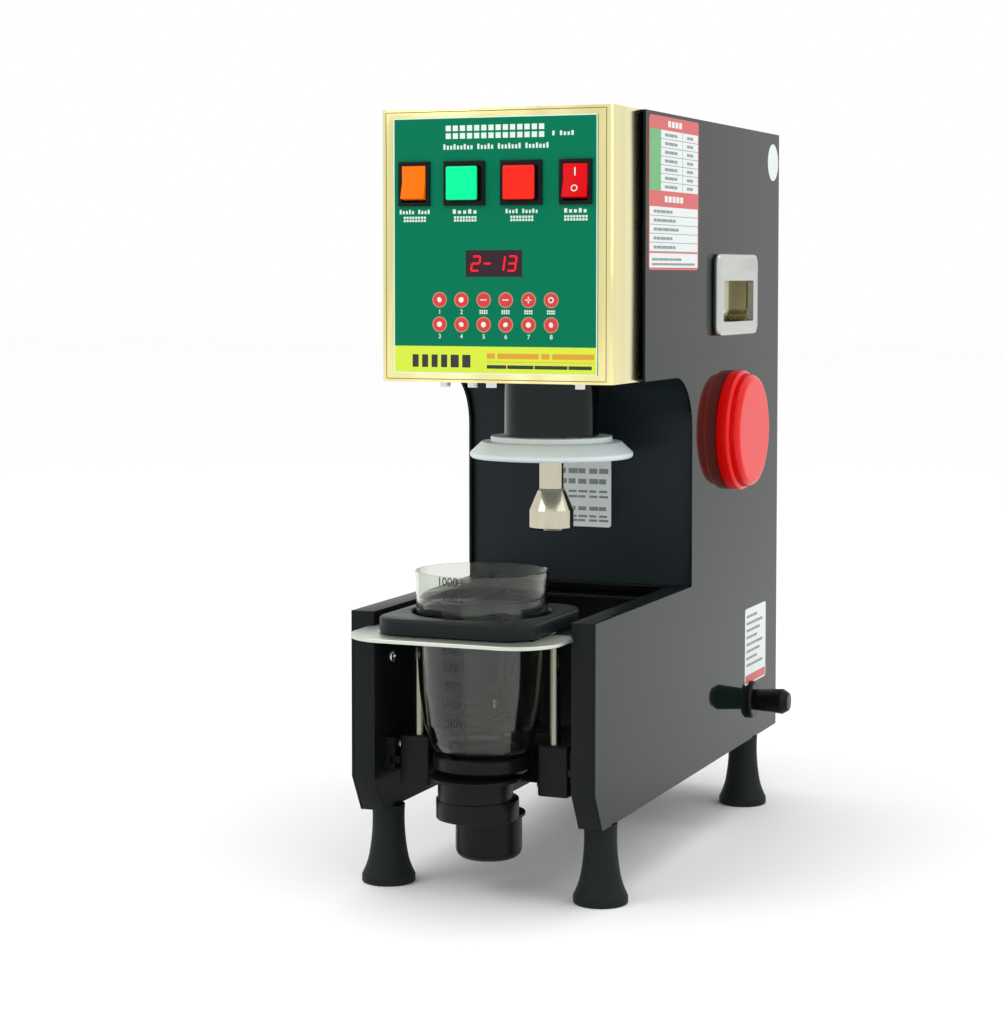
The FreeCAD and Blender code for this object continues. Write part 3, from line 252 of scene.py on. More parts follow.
gold_metal = brushed("gold_metal", (246, 239, 184), 0.16, along=2, streak=0.05, darker=0.97)
# Painted reflection: wide upright bands of darker gold in the cover's colour, standing for the light and dark
# bands a polished sheet shows as it reflects the room.
painted_reflection_bands = gold_metal.noise(34, 1, (1, 1, 0.01))  # wide upright bands, as polished sheet shows
gold_metal.shade(painted_reflection_bands * 1.5 - 0.35, (208, 197, 122))
deck_steel = brushed("deck_steel", (214, 220, 208), 0.42, along=0, streak=0.1)
plate_steel = brushed("plate_steel", (206, 209, 204), 0.34, along=1)
pestle_steel = brushed("pestle_steel", (206, 200, 180), 0.11, along=2, streak=0.06)
tube_black = brushed("tube_black", (44, 47, 47), 0.13, along=2, streak=0.06)
post_steel = brushed("post_steel", (150, 146, 134), 0.24, along=2, streak=0.1)
pocket_steel = machined("pocket_steel", (196, 193, 168), 0.2)
bright_steel = machined("bright_steel", (228, 230, 228), 0.12)
plain_steel = machined("plain_steel", (150, 152, 152), 0.36)
aluminium = machined("aluminium", (196, 198, 200), 0.42)
bronze = machined("bronze", (176, 132, 74), 0.4)

# %% [markdown]
# The cup is clear plastic, and the switches are lit from inside, so these finishes pass or give light.

# %% Clear and lit finishes
cup_clear = Finish("cup_clear", (226, 229, 222), 0.03, Transmission_Weight=1.0, IOR=1.38)
cup_clear.bump(cup_clear.noise(14, 1), 0.00012, 0.1)


def lit(name, colour, glow, roughness=0.22):
    """A translucent cap with a lamp behind it: brightest in the cloudy middle."""
    finish = Finish(name, colour, roughness, Specular_IOR_Level=0.1)
    finish.fix("Emission Color", paint_value(colour))
    finish.fix("Emission Strength", glow)
    finish.shade(finish.noise(40, 2) * 0.4, [c * 0.85 for c in colour])
    finish.bump(finish.noise(1200, 1), 0.000008, 0.4)
    return finish


orange_cap = lit("orange_cap", (232, 106, 0), 0.2)
green_cap = lit("green_cap", (0, 228, 142), 0.22)
red_cap = lit("red_cap", (230, 36, 24), 0.2)
power_cap = lit("power_cap", (206, 4, 14), 0.15)
led_red = lit("led_red", (240, 24, 34), 0.9)
display_window = moulded("display_window", (52, 34, 42), 0.2, Specular_IOR_Level=0.15)


def ink(name, colour, roughness=0.42):
    """Print on a film or label, a little worn and cloudy."""
    finish = Finish(name, colour, roughness)
    finish.shade(finish.noise(260, 3) * 0.3, [min(255, c * 0.9 + 12) for c in colour])
    finish.bump(finish.noise(2200, 1), 0.000004, 0.3)
    return finish


white_ink = ink("white_ink", (214, 232, 222))
lime_ink = ink("lime_ink", (204, 224, 44))
black_ink = ink("black_ink", (24, 30, 26))
amber_ink = ink("amber_ink", (214, 150, 26))
key_ink = ink("key_ink", (204, 38, 36))
key_rim = ink("key_rim", (194, 132, 100))
paper = ink("paper", (222, 230, 228))
red_print = ink("red_print", (206, 82, 82))
green_print = ink("green_print", (88, 176, 104))
grey_print = ink("grey_print", (128, 138, 138))
# Dark gold for the painted shade where the gold cover's edges bend away.
bend_shade_gold = ink("bend_shade_gold", (132, 112, 50), 0.3)
floor_white = ink("floor_white", (255, 255, 255), 0.9)
floor.data.materials.append(floor_white.material)

# %% [markdown]
# A node of the frame whose shape is right only needs its finish. One table from finish to node names
# is shorter than sixty assignments, and a node that it leaves out stops the script with its name.

# %% Finishes of the pieces that keep their shape
KEEP = {
    side_paint: "side_panel_left side_panel_right rear_cover top_cover",
    black_paint: "slide_rails base_floor well_liner base_cheek_left base_cheek_right carriage_frame",
    liner_paint: "throat_liner",
    tube_black: "guide_sleeve",
    gold_metal: "head_cover",
    green_film: "control_overlay",
    black_plastic: "cup_seat carriage_tongues switch_housings knob_bush side_knob power_inlet motor_cap "
                   "turntable_gearbox turntable_bearing",
    ring_plastic: "cup_ring",
    palm_plastic: "palm_bezel palm_button",
    orange_cap: "mode_rocker", green_cap: "start_button", red_cap: "stop_button", power_cap: "power_rocker",
    display_window: "display_module",
    board_green: "control_board driver_board",
    cup_clear: "cup",
    white_plastic: "lid_disc",
    rubber: "feet",
    gasket_rubber: "lid_gasket",
    deck_steel: "deck_plate",
    plate_steel: "carry_recess_left carry_recess_right",
    pestle_steel: "pestle_rod pestle_head lid_tube",
    post_steel: "ring_posts",
    bright_steel: "cover_screws head_bolts wall_screws",
    plain_steel: "shelf_pillars drive_shelf motor_brackets pound_pinion lid_pinion turntable_spindle",
    aluminium: "pound_motor lid_motor turntable_motor power_supply lid_rack board_standoffs",
    bronze: "rod_guide",
}
finish_of = {node: finish for finish, nodes in KEEP.items() for node in nodes.split()}
for node, piece in frame["nodes"].items():
    piece.data.materials.clear()
    piece.data.materials.append(finish_of[node].material)
print(len(finish_of), "nodes have their finish")

# %% [markdown]
# ## Helpers for modelling by hand
# Every new piece starts from a primitive at its real size and place. In edit mode its faces or edges
# are picked by where they are, then bevelled, inset or extruded. Lengths are given in millimetres
# from the pounding axis, because the lid, the pestle and the front are all built round it.

# %% Places and primitives
def at(x, y, z):
    return AXIS + Vector((x, y, z)) * MM


def millimetres(node):
    """A node's box in millimetres from the pounding axis."""
    low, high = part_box(node)
    return [(c - a) / MM for c, a in zip(low, AXIS)], [(c - a) / MM for c, a in zip(high, AXIS)]


def take(piece):
    """Select one piece alone, as the active one."""
    bpy.ops.object.select_all(action="DESELECT")
    piece.select_set(True)
    bpy.context.view_layer.objects.active = piece


def leave_edit_mode():
    bpy.ops.object.mode_set(mode="OBJECT")


def settle(piece):
    """Move a piece's place, turn and size into its mesh."""
    take(piece)
    bpy.ops.object.transform_apply(location=True, rotation=True, scale=True)
    return piece


def primitive(kind, name, place, turn=(0, 0, 0), **sizes):
    bpy.ops.object.select_all(action="DESELECT")
    getattr(bpy.ops.mesh, f"primitive_{kind}_add")(location=place, rotation=turn, **sizes)
    bpy.context.object.name = name
    return settle(bpy.context.object)


def pick(piece, kind, test):
    """Enter edit mode with just the faces or edges whose middle and direction pass the test."""
    take(piece)
    bpy.ops.object.mode_set(mode="EDIT")
    bpy.ops.mesh.select_mode(type=kind)
    bpy.ops.mesh.select_all(action="DESELECT")
    shape = bmesh.from_edit_mesh(piece.data)
    if kind == "FACE":
        for face in shape.faces:
            face.select_set(bool(test(face.calc_center_median(), face.normal)))
    else:
        for edge in shape.edges:
            a, b = (vertex.co for vertex in edge.verts)
            edge.select_set(bool(test((a + b) / 2, (b - a).normalized())))
    bmesh.update_edit_mesh(piece.data)


def modify(piece, kind, **settings):
    """Add a modifier and apply it straight away."""
    take(piece)
    modifier = piece.modifiers.new(kind.title(), kind)
    for name, value in settings.items():
        setattr(modifier, name, value)
    bpy.ops.object.modifier_apply(modifier=modifier.name)
    return piece


def smooth(piece, angle=35):
    take(piece)
    bpy.ops.object.shade_smooth_by_angle(angle=math.radians(angle))
    return piece


def joined(name, pieces):
    """One piece made of several, or a single one under its new name."""
    bpy.ops.object.select_all(action="DESELECT")
    for piece in pieces:
        piece.select_set(True)
    bpy.context.view_layer.objects.active = pieces[0]
    if len(pieces) > 1:
        bpy.ops.object.join()
    pieces[0].name = name
    return pieces[0]


def fit(piece, finish, body, slot, *replaced):
    """Give a finished piece its material and its body, and hide the nodes it stands for. slot is not used."""
    piece.data.materials.clear()
    piece.data.materials.append(finish.material)
    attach(piece, body)
    if replaced:
        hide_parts(*replaced)
    print(f"{piece.name}: {len(piece.data.polygons)} faces on {body}")
    return piece


# %% [markdown]
# Most printed and sheet pieces are plates: a cube with the corners of its outline rounded, then the
# edge of its outer face softened, so that it catches a line of light.

# %% A plate with rounded corners
def slab(name, low, high, corner=0.0, soft=0.0, thin=1, steps=6):
    """low and high are millimetres from the pounding axis; thin is the axis the plate is thin along."""
    low, high = at(*low), at(*high)
    piece = primitive("cube", name, (low + high) / 2, size=1)
    for vertex in piece.data.vertices:
        for axis in range(3):
            vertex.co[axis] = high[axis] if vertex.co[axis] > (low + high)[axis] / 2 else low[axis]
    if corner:
        pick(piece, "EDGE", lambda middle, way: abs(way[thin]) > 0.9)
        bpy.ops.mesh.bevel(offset=corner * MM, segments=steps, affect="EDGES")
        leave_edit_mode()
    if soft:
        pick(piece, "FACE", lambda middle, normal: abs(normal[thin]) > 0.9)
        bpy.ops.mesh.region_to_loop()
        bpy.ops.mesh.bevel(offset=soft * MM, segments=2, affect="EDGES")
        leave_edit_mode()
    return piece


# %% [markdown]
# The few figures on the machine are text objects turned into meshes, so that they can be joined and
# bent like any other piece.

# %% Figures
FACING_FRONT = (math.radians(90), 0, 0)
FIGURE_TO_FONT = 1.4  # a figure is about 1 / 1.4 of its font's size tall


def lettering(name, text, size, place, turn, thick=0.05, bold=0.0):
    """A line of figures, made a mesh. place is the middle of the line."""
    bpy.ops.object.select_all(action="DESELECT")
    bpy.ops.object.text_add(location=place, rotation=turn)
    line = bpy.context.object
    line.data.body = text
    line.data.size = size * MM * FIGURE_TO_FONT
    line.data.extrude = thick * MM
    line.data.offset = bold * MM
    line.data.align_x, line.data.align_y = "CENTER", "CENTER"
    line.data.resolution_u = 4
    bpy.ops.object.convert(target="MESH")
    line = bpy.context.object
    line.name = name
    return settle(line)


# %% [markdown]
# ## Softer edges for the sheet metal and mouldings
# A folded sheet or a moulded part has a small radius on every edge, and without it a render looks
# like cardboard. The frame's pieces are sharp, so these are copied, their loose triangles merged,
# the flat faces dissolved back into single ones, and their sharp edges bevelled.

# %% Soften the edges of the frame's pieces
SAME_POINT = 0.000002  # metres between points that are merged
FLAT, SHARP, SMOOTH = 1.0, 38, 32  # degrees: one flat face below, bevelled above, smooth below
SOFTEN = {  # node: (radius in mm, body, slot, finish)
    "cup_ring": (2.6, "carriage", "black_plastic", ring_plastic),
    "deck_plate": (0.7, "root", "stainless", deck_steel),
    "carriage_frame": (2.0, "carriage", "black_paint", black_paint),
    "head_cover": (0.9, "root", "gold_metal", gold_metal),
    "base_cheek_right": (0.7, "root", "black_paint", black_paint),
    "base_cheek_left": (0.7, "root", "black_paint", black_paint),
    "switch_housings": (0.7, "root", "black_plastic", black_plastic),
    "side_knob": (0.8, "side_knob", "black_plastic", black_plastic),
    "turntable_gearbox": (1.2, "carriage", "black_plastic", black_plastic),
    "turntable_bearing": (0.6, "carriage", "black_plastic", black_plastic),
    "palm_bezel": (0.6, "root", "red_plastic", palm_plastic),
    "lid_disc": (0.35, "lid", "white_plastic", white_plastic),
    "power_inlet": (0.8, "root", "black_plastic", black_plastic),
}


def softened(node, radius, body, slot, finish):
    bpy.ops.object.select_all(action="DESELECT")
    source = frame["nodes"][node]
    piece = bpy.data.objects.new(node + "_soft", source.data.copy())
    bpy.context.scene.collection.objects.link(piece)
    pick(piece, "FACE", lambda middle, normal: True)
    bpy.ops.mesh.remove_doubles(threshold=SAME_POINT)
    bpy.ops.mesh.dissolve_limited(angle_limit=math.radians(FLAT))
    leave_edit_mode()
    if "custom_normal" in piece.data.attributes:
        piece.data.attributes.remove(piece.data.attributes["custom_normal"])
    modify(piece, "BEVEL", width=radius * MM, segments=3, limit_method="ANGLE",
           angle_limit=math.radians(SHARP), harden_normals=False, use_clamp_overlap=True)
    smooth(piece, SMOOTH)
    return fit(piece, finish, body, slot, node)


for node, (radius, body, slot, finish) in SOFTEN.items():
    softened(node, radius, body, slot, finish)

# %% [markdown]
# Only the deck's lip, in front of the cheeks, is left bright. Behind it, between the cheeks, the plate is
# given the cheeks' black paint: it is cut across with a bisect, which leaves its shape alone, and the faces
# behind the cut take this second material.

# %% The black part of the deck
LIP_BACK = -166
deck = bpy.data.objects["deck_plate_soft"]
pick(deck, "FACE", lambda middle, normal: True)
bpy.ops.mesh.bisect(plane_co=at(0, LIP_BACK, 0), plane_no=(0, 1, 0))
leave_edit_mode()
deck.data.materials.append(black_paint.material)
for face in deck.data.polygons:
    face.material_index = int(face.center.y > at(0, LIP_BACK, 0).y)
print(sum(face.material_index for face in deck.data.polygons), "faces of the deck are black")

# %% [markdown]
# ## The printed control film
# The film carries a lime band, a pale border and white captions. Print has no thickness to speak of,
# but a plate a twentieth of a millimetre proud keeps its own colour and a crisp edge. Captions are
# rows of small plain marks, since only figures are drawn.

# %% Film, border and band
film_low, film_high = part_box("control_overlay")
FILM = round((film_low.y - AXIS.y) / MM, 3)
HALF = (film_high.x - film_low.x) / 2 / MM
LOW, HIGH = film_low.z / MM, film_high.z / MM
INK, SUNK = 0.06, 0.02  # how far print stands out of the film, and how far it reaches into it
BAND_LIFT = 0.05        # how far the band's own print starts above the film
BAND_TOP = 432.7
EDGE = 0.9


def print_bar(x0, x1, z0, z1, corner=0.0, lift=0.0):
    face = FILM - lift
    return slab("bar", (x0, face - INK, z0), (x1, face + SUNK, z1), corner=corner, steps=3)


def on_film(name, pieces, finish):
    fit(joined(name, pieces), finish, "root", "green_film")


on_film("lime_band", [print_bar(-HALF + EDGE, HALF - EDGE, LOW + EDGE, BAND_TOP)], lime_ink)
border = [print_bar(-HALF, HALF, LOW, LOW + EDGE), print_bar(-HALF, HALF, HIGH - EDGE, HIGH),
          print_bar(-HALF, -HALF + EDGE, LOW + EDGE, HIGH - EDGE),
          print_bar(HALF - EDGE, HALF, LOW + EDGE, HIGH - EDGE)]
on_film("film_border", border, white_ink)

# %% [markdown]
# From a step away a line of small type is a row of upright marks, some taller than others, and a
# large sign is a square with windows in it. These stand-ins keep the look of print without a word.

# %% Captions
def small_type(x0, x1, z0, z1, counts):
    """Words of small upright marks, tall and short, as a line of type looks from a distance."""
    step = (x1 - x0) / (sum(counts) + len(counts) - 1)
    marks = []
    for count in counts:
        for i in range(count):
            top = z1 if i % 3 == 0 else z0 + (z1 - z0) * 0.74
            marks.append(print_bar(x0, x0 + step * 0.6, z0, top))
            x0 += step
        x0 += step
    return marks


def big_type(x0, x1, z0, z1, count):
    """Square signs, each a window of four small panes."""
    pitch = (x1 - x0) / count
    side = min(pitch * 0.86, z1 - z0)
    pane = side * 0.42
    marks = []
    for i in range(count):
        for across in (0, side - pane):
            for up in (0, side - pane):
                x, z = x0 + pitch * i + across, z0 + up
                marks.append(print_bar(x, x + pane, z, z + pane))
    return marks


# A line is its left, right, bottom and top, then the marks or signs in it.
HEADING = (-41, 44, 596, 606.5, 7)
BESIDE_HEADING = (49, 68, 597, 600.6, [1, 4])
UNDER_HEADING = (-43, 47, 587.6, 591.8, [9, 5, 7, 7])
SWITCH_CAPTIONS = ((-81, -54, [5, 4]), (-35, -13, [5]), (10, 38, [4, 5]), (59, 79, [5]))
SWITCH_LINE, SWITCH_SIGNS, KEY_SIGNS = (537.2, 540.6), (531, 535.2), (458.4, 461.6)  # bottom and top
KEY_COLUMNS = (-46.4, -27.6, -8.6, 10.1, 29.4, 48.3)

captions = big_type(*HEADING) + small_type(*BESIDE_HEADING) + small_type(*UNDER_HEADING)
for x0, x1, counts in SWITCH_CAPTIONS:
    captions += small_type(x0, x1, *SWITCH_LINE, counts)
    middle = (x0 + x1) / 2
    captions += big_type(middle - 10, middle + 10, *SWITCH_SIGNS, 4)
for x in KEY_COLUMNS[2:]:
    captions += big_type(x - 3.6, x + 3.6, *KEY_SIGNS, 2)
on_film("film_captions", captions, white_ink)

# %% [markdown]
# On the lime band the print is bolder: blocks of different lengths, a little above the band.

# %% Print on the band
DARK_LINES = ((-70, -20, 416, 426, [3, 3, 3, 3, 4, 4]), (-6, 82, 415.4, 418.2, [6, 8, 10, 7]))
AMBER_LINE = (-6, 84, 423.2, 427.4, [2, 10, 2, 10])
AMBER_RULE = (-6, 84, 420.6, 421.0)


def blocks(bar, start, end, low, high, lengths, gap):
    """A line of bars whose lengths are given in proportion. gap is a share of their height."""
    space = (high - low) * gap
    unit = (end - start - space * (len(lengths) - 1)) / sum(lengths)
    bars = []
    for length in lengths:
        bars.append(bar(start, start + length * unit, low, high))
        start += length * unit + space
    return bars


def band_bar(x0, x1, z0, z1):
    return print_bar(x0, x1, z0, z1, corner=min(0.5, (z1 - z0) * 0.2), lift=BAND_LIFT)


dark_print = [bar for line in DARK_LINES for bar in blocks(band_bar, *line, gap=0.3)]
on_film("band_captions", dark_print, black_ink)
amber_print = blocks(band_bar, *AMBER_LINE, gap=0.5) + [print_bar(*AMBER_RULE, lift=BAND_LIFT)]
on_film("band_amber", amber_print, amber_ink)

# %% [markdown]
# A dark line of painted shade runs round the gold cover's face, a little in from its edges, where the sheet
# bends away and looks darker.

# %% Painted shade along the gold cover's bends
cover_low, cover_high = millimetres("head_cover")
SHADE_IN, SHADE_EDGE = 5.2, 2.4  # from the cover's sides, and from its top and bottom
SHADE_WIDTH, SHADE_PROUD = 0.7, 0.04   # width, and how far the dark line stands out


def seam(x0, x1, z0, z1):
    return slab("seam", (x0, cover_low[1] - SHADE_PROUD, z0), (x1, cover_low[1] + SUNK, z1))


shade_right = cover_high[0] - SHADE_IN
shade_low, shade_high = cover_low[2] + SHADE_EDGE, cover_high[2] - SHADE_EDGE
bend_shade_lines = [seam(x - SHADE_WIDTH / 2, x + SHADE_WIDTH / 2, shade_low, shade_high) for x in (-shade_right, shade_right)]
bend_shade_lines += [seam(-shade_right, shade_right, z - SHADE_WIDTH / 2, z + SHADE_WIDTH / 2) for z in (shade_low, shade_high)]
fit(joined("cover_bend_shade", bend_shade_lines), bend_shade_gold, "root", "gold_metal")

# %% [markdown]
# The keypad is part of the same film: twelve round pads, each with a pale ring and a white sign.
# One pad is a short cylinder whose top is inset and sunk a little, and it is copied to its places.

# %% Keypad
KEY_ROWS = (469.4, 450.0)
KEY_RADIUS = 6.2
KEY_RIM = 0.9


def twin_of(piece):
    """A copy with its own mesh."""
    twin = piece.copy()
    twin.data = piece.data.copy()
    bpy.context.scene.collection.objects.link(twin)
    return twin


def copy_to(piece, name, places):
    """Copies of a finished piece at each of the offsets in places, joined into one."""
    copies = []
    for place in places:
        twin = twin_of(piece)
        twin.location = place
        copies.append(settle(twin))
    bpy.data.objects.remove(piece)
    return joined(name, copies)


def key_pad(radius, height, dome):
    pad = primitive("cylinder", "pad", at(0, FILM - height / 2, 0), turn=FACING_FRONT,
                    radius=radius * MM, depth=height * MM, vertices=40)
    pick(pad, "FACE", lambda middle, normal: normal.y < -0.9)
    bpy.ops.mesh.inset(thickness=radius * 0.12 * MM, depth=dome * MM)
    bpy.ops.mesh.inset(thickness=radius * 0.3 * MM, depth=dome * 0.6 * MM)
    leave_edit_mode()
    return pad


spots = [Vector((x, 0, z)) * MM for z in KEY_ROWS for x in KEY_COLUMNS]
rims = copy_to(key_pad(KEY_RADIUS, 0.25, 0.05), "key_rims", spots)
fit(smooth(rims), key_rim, "root", "green_film")
pads = copy_to(key_pad(KEY_RADIUS - KEY_RIM, 0.45, 0.12), "key_pads", spots)
fit(smooth(pads), key_ink, "root", "red_plastic")

# %% [markdown]
# Three keys carry a dash or a cross, one a ring, and the rest a small flat dot, each its own way up.
# The numbers 1 to 8 stand under their keys.

# %% Signs and numbers of the keypad
SIGN_FACE = FILM - 0.66
LONG, THIN = 2.6, 0.45
DASH_KEYS, CROSS_KEY, RING_KEY = (2, 3, 4), 4, 5
NUMBERED = ((0, 0), (0, 1), (1, 0), (1, 1), (1, 2), (1, 3), (1, 4), (1, 5))  # row and column
FIGURE_DROP = 9.6


def sign_bar(x, z, half_x, half_z):
    return slab("sign", (x - half_x, SIGN_FACE - 0.1, z - half_z), (x + half_x, SIGN_FACE + 0.4, z + half_z))


def sign_ring(x, z):
    return primitive("torus", "sign", at(x, SIGN_FACE, z), turn=FACING_FRONT, major_radius=1.9 * MM,
                     minor_radius=0.55 * MM, major_segments=24, minor_segments=8)


def sign_dot(x, z, tall, lean):
    middle = at(x, SIGN_FACE + 0.15, z)
    dot = primitive("uv_sphere", "sign", middle, segments=16, ring_count=8, radius=1.0 * MM)
    pick(dot, "FACE", lambda place, normal: True)
    bpy.ops.transform.resize(value=(2.4, 0.3, tall), center_override=middle)
    bpy.ops.transform.rotate(value=math.radians(lean), orient_axis="Y", center_override=middle)
    leave_edit_mode()
    return dot


signs = []
for row, z in enumerate(KEY_ROWS):
    for column, x in enumerate(KEY_COLUMNS):
        if row == 0 and column in DASH_KEYS:
            signs.append(sign_bar(x, z, LONG, THIN))
            if column == CROSS_KEY:
                signs.append(sign_bar(x, z, THIN, LONG))
        elif row == 0 and column == RING_KEY:
            signs.append(sign_ring(x, z))
        else:
            signs.append(sign_dot(x, z, 2.0 + 0.5 * ((row + column) % 2), 35 * (column - 2)))
fit(smooth(joined("key_signs", signs)), white_ink, "root", "red_plastic")

figures = []
for number, (row, column) in enumerate(NUMBERED, 1):
    place = at(KEY_COLUMNS[column], FILM - 0.04, KEY_ROWS[row] - FIGURE_DROP)
    figures.append(lettering("figure", str(number), 3.6, place, FACING_FRONT, bold=0.04))
on_film("key_figures", figures, white_ink)

# %% [markdown]
# ## The number display
# Each figure is made of up to seven slanted bars, as on any number display. The bars lean a little to
# the right and glow.

# %% Display figures
SEGMENTS = {  # name: (place across, place up, lying flat)
    "a": (0, 1, 1), "b": (0.5, 0.5, 0), "c": (0.5, -0.5, 0), "d": (0, -1, 1),
    "e": (-0.5, -0.5, 0), "f": (-0.5, 0.5, 0), "g": (0, 0, 1),
}
FIGURES = {"2": "abged", "-": "g", "1": "bc", "3": "abgcd"}
SHOWN = (("2", -15.4), ("-", -5.6), ("1", 5.6), ("3", 15.4))
DISPLAY_LEVEL = 498
LEAN = 0.14
LYING, STANDING = (6.0, 1.4), (1.4, 5.4)  # width and height of a bar
FIGURE_WIDTH, HALF_FIGURE = 6.4, 5.6
window_face = (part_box("display_module")[0].y - AXIS.y) / MM
figure_bars = []
for text, x in SHOWN:
    for segment in FIGURES[text]:
        across, up, flat = SEGMENTS[segment]
        width, height = LYING if flat else STANDING
        bar_x = x + across * FIGURE_WIDTH
        bar_z = DISPLAY_LEVEL + up * HALF_FIGURE
        bar = slab("segment", (bar_x - width / 2, window_face - 0.25, bar_z - height / 2),
                   (bar_x + width / 2, window_face + 0.1, bar_z + height / 2), corner=0.55, steps=2)
        figure_bars.append(bar)
figures_lit = joined("display_figures", figure_bars)
for vertex in figures_lit.data.vertices:
    vertex.co.x += LEAN * (vertex.co.z - DISPLAY_LEVEL * MM)
fit(figures_lit, led_red, "root", "display_plastic")

# %% [markdown]
# ## Switches
# The two push buttons are lit caps with a shallow sunk face and dark sides. All the edges are bevelled
# at once, and then the front face is picked and inset twice.

# %% Push caps
CAP_EDGE = 1.5    # how far its edges are rounded
CAP_LENS = 1.6    # how deep the lit front is, before the dark sides begin
CAP_RIM, CAP_STEP, CAP_SINK = 1.2, 0.6, 0.4  # the flat rim, the step inside it, and its depth


def push_cap(node, finish, slot):
    low, high = millimetres(node)
    cap = slab(node + "_cap", low, high)
    pick(cap, "EDGE", lambda middle, way: True)
    bpy.ops.mesh.bevel(offset=CAP_EDGE * MM, segments=4, affect="EDGES")
    leave_edit_mode()
    front = low[1] * MM + AXIS.y
    pick(cap, "FACE", lambda middle, normal: normal.y < -0.99 and middle.y < front + 0.0001)
    bpy.ops.mesh.inset(thickness=CAP_RIM * MM, depth=0)
    bpy.ops.mesh.inset(thickness=CAP_STEP * MM, depth=-CAP_SINK * MM)
    leave_edit_mode()
    fit(smooth(cap, 30), finish, node, slot, node)
    cap.data.materials.append(black_plastic.material)
    for face in cap.data.polygons:
        face.material_index = int(face.center.y > front + CAP_LENS * MM)


push_cap("start_button", green_cap, "green_plastic")
push_cap("stop_button", red_cap, "red_plastic")

# %% [markdown]
# The two rockers are the frame's own shapes with softer edges. A rocker is bent in its middle, so each
# half slopes away from the pivot. The bar and the ring of the power rocker lie on those slopes, and
# their places are worked out from the pivot, in the rocker's own directions.

# %% Rockers and the power signs
ROCKER_EDGE = 0.7
REST_TILT = math.radians(-8)
SLOPE = math.atan2(2, 13)
softened("mode_rocker", ROCKER_EDGE, "mode_rocker", "orange_plastic", orange_cap)
softened("power_rocker", ROCKER_EDGE, "power_rocker", "red_plastic", power_cap)
pivot = next(joint for joint in frame["joints"] if joint["name"] == "power_rock")["pos_m"]


def rocker_place(out, up):
    """A point on the rocker, out from its pivot and up along it, as it stands at rest."""
    return Vector((pivot[0], pivot[1] + (-out * math.cos(REST_TILT) - up * math.sin(REST_TILT)) * MM,
                   pivot[2] + (-out * math.sin(REST_TILT) + up * math.cos(REST_TILT)) * MM))


bar_place, ring_place = rocker_place(8.05, 6.8), rocker_place(7.9, -6.2)
bar = primitive("cube", "power_bar", bar_place, turn=(REST_TILT + SLOPE, 0, 0), size=1 * MM)
pick(bar, "FACE", lambda middle, normal: True)
bpy.ops.transform.resize(value=(1.1, 0.3, 6.4), center_override=bar_place)
bpy.ops.mesh.bevel(offset=0.08 * MM, segments=1, affect="EDGES")
leave_edit_mode()
ring = primitive("torus", "power_ring", ring_place, turn=(math.radians(90) + REST_TILT - SLOPE, 0, 0),
                 major_radius=2.3 * MM, minor_radius=0.5 * MM, major_segments=32, minor_segments=8)
fit(smooth(joined("power_signs", [bar, ring])), white_ink, "power_rocker", "red_plastic")

# %% [markdown]
# ## The scale on the cup
# The figures are drawn flat, then every point is wrapped round the cup: its distance from the scale's
# line becomes an angle, and the cup's own radius at that height sets how far out it stands.

# %% Cup scale
cup_low, cup_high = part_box("cup")
CUP = Vector(((cup_low.x + cup_high.x) / 2, (cup_low.y + cup_high.y) / 2, 0))
PROFILE = (  # height and outer radius of the cup
    (115, 37), (120, 37.5), (127.3, 41.5), (140, 45.8), (165, 49.2), (205, 51.6), (238.5, 51.6),
    (240, 51.7), (259, 52.4),
)
LINE_ANGLE = math.radians(5.2)  # where the scale's line stands, round from the front
OFF_THE_WALL = 0.02


def cup_radius(height):
    for (z0, r0), (z1, r1) in zip(PROFILE, PROFILE[1:]):
        if height <= z1:
            return r0 + (r1 - r0) * (height - z0) / (z1 - z0)
    return PROFILE[-1][1]


def wrap_round_cup(piece):
    for vertex in piece.data.vertices:
        across, proud, height = vertex.co.x / MM, -vertex.co.y / MM, vertex.co.z / MM
        radius = cup_radius(height)
        angle = LINE_ANGLE + across / radius
        reach = (radius + OFF_THE_WALL + proud) * MM
        vertex.co = (CUP.x + reach * math.sin(angle), CUP.y - reach * math.cos(angle), vertex.co.z)


# %% [markdown]
# The marks are long beside a figure and short half way between two. The long line is cut into forty
# pieces first, so that it can follow the bulge of the wall when it is wrapped.

# %% Scale marks
LEVELS = {"100": 127.7, "200": 144.3, "300": 160.1, "400": 174.4, "500": 188.3, "600": 201.6,
          "700": 215.0, "800": 229.2, "900": 243.5, "1000": 255.0}
MARK_LEFT, MARK_RIGHT, LONG_MARK, SHORT_MARK = -4.8, 3.6, 0.25, 0.22
LINE_LOW, LINE_HIGH, HALF_LINE = 119.5, 257.5, 0.3
FIGURE_LEFT, WIDE_FIGURE_LEFT, FIGURE_TALL = -10.6, -12.2, 6.6
MARK_PROUD = 0.12


def stroke(x0, x1, z0, z1):
    mark = primitive("cube", "mark", ((x0 + x1) / 2 * MM, 0, (z0 + z1) / 2 * MM), size=MM)
    for vertex in mark.data.vertices:
        vertex.co = ((x1 if vertex.co.x > (x0 + x1) / 2 * MM else x0) * MM,
                     0.0 if vertex.co.y > 0 else -MARK_PROUD * MM,
                     (z1 if vertex.co.z > (z0 + z1) / 2 * MM else z0) * MM)
    return mark


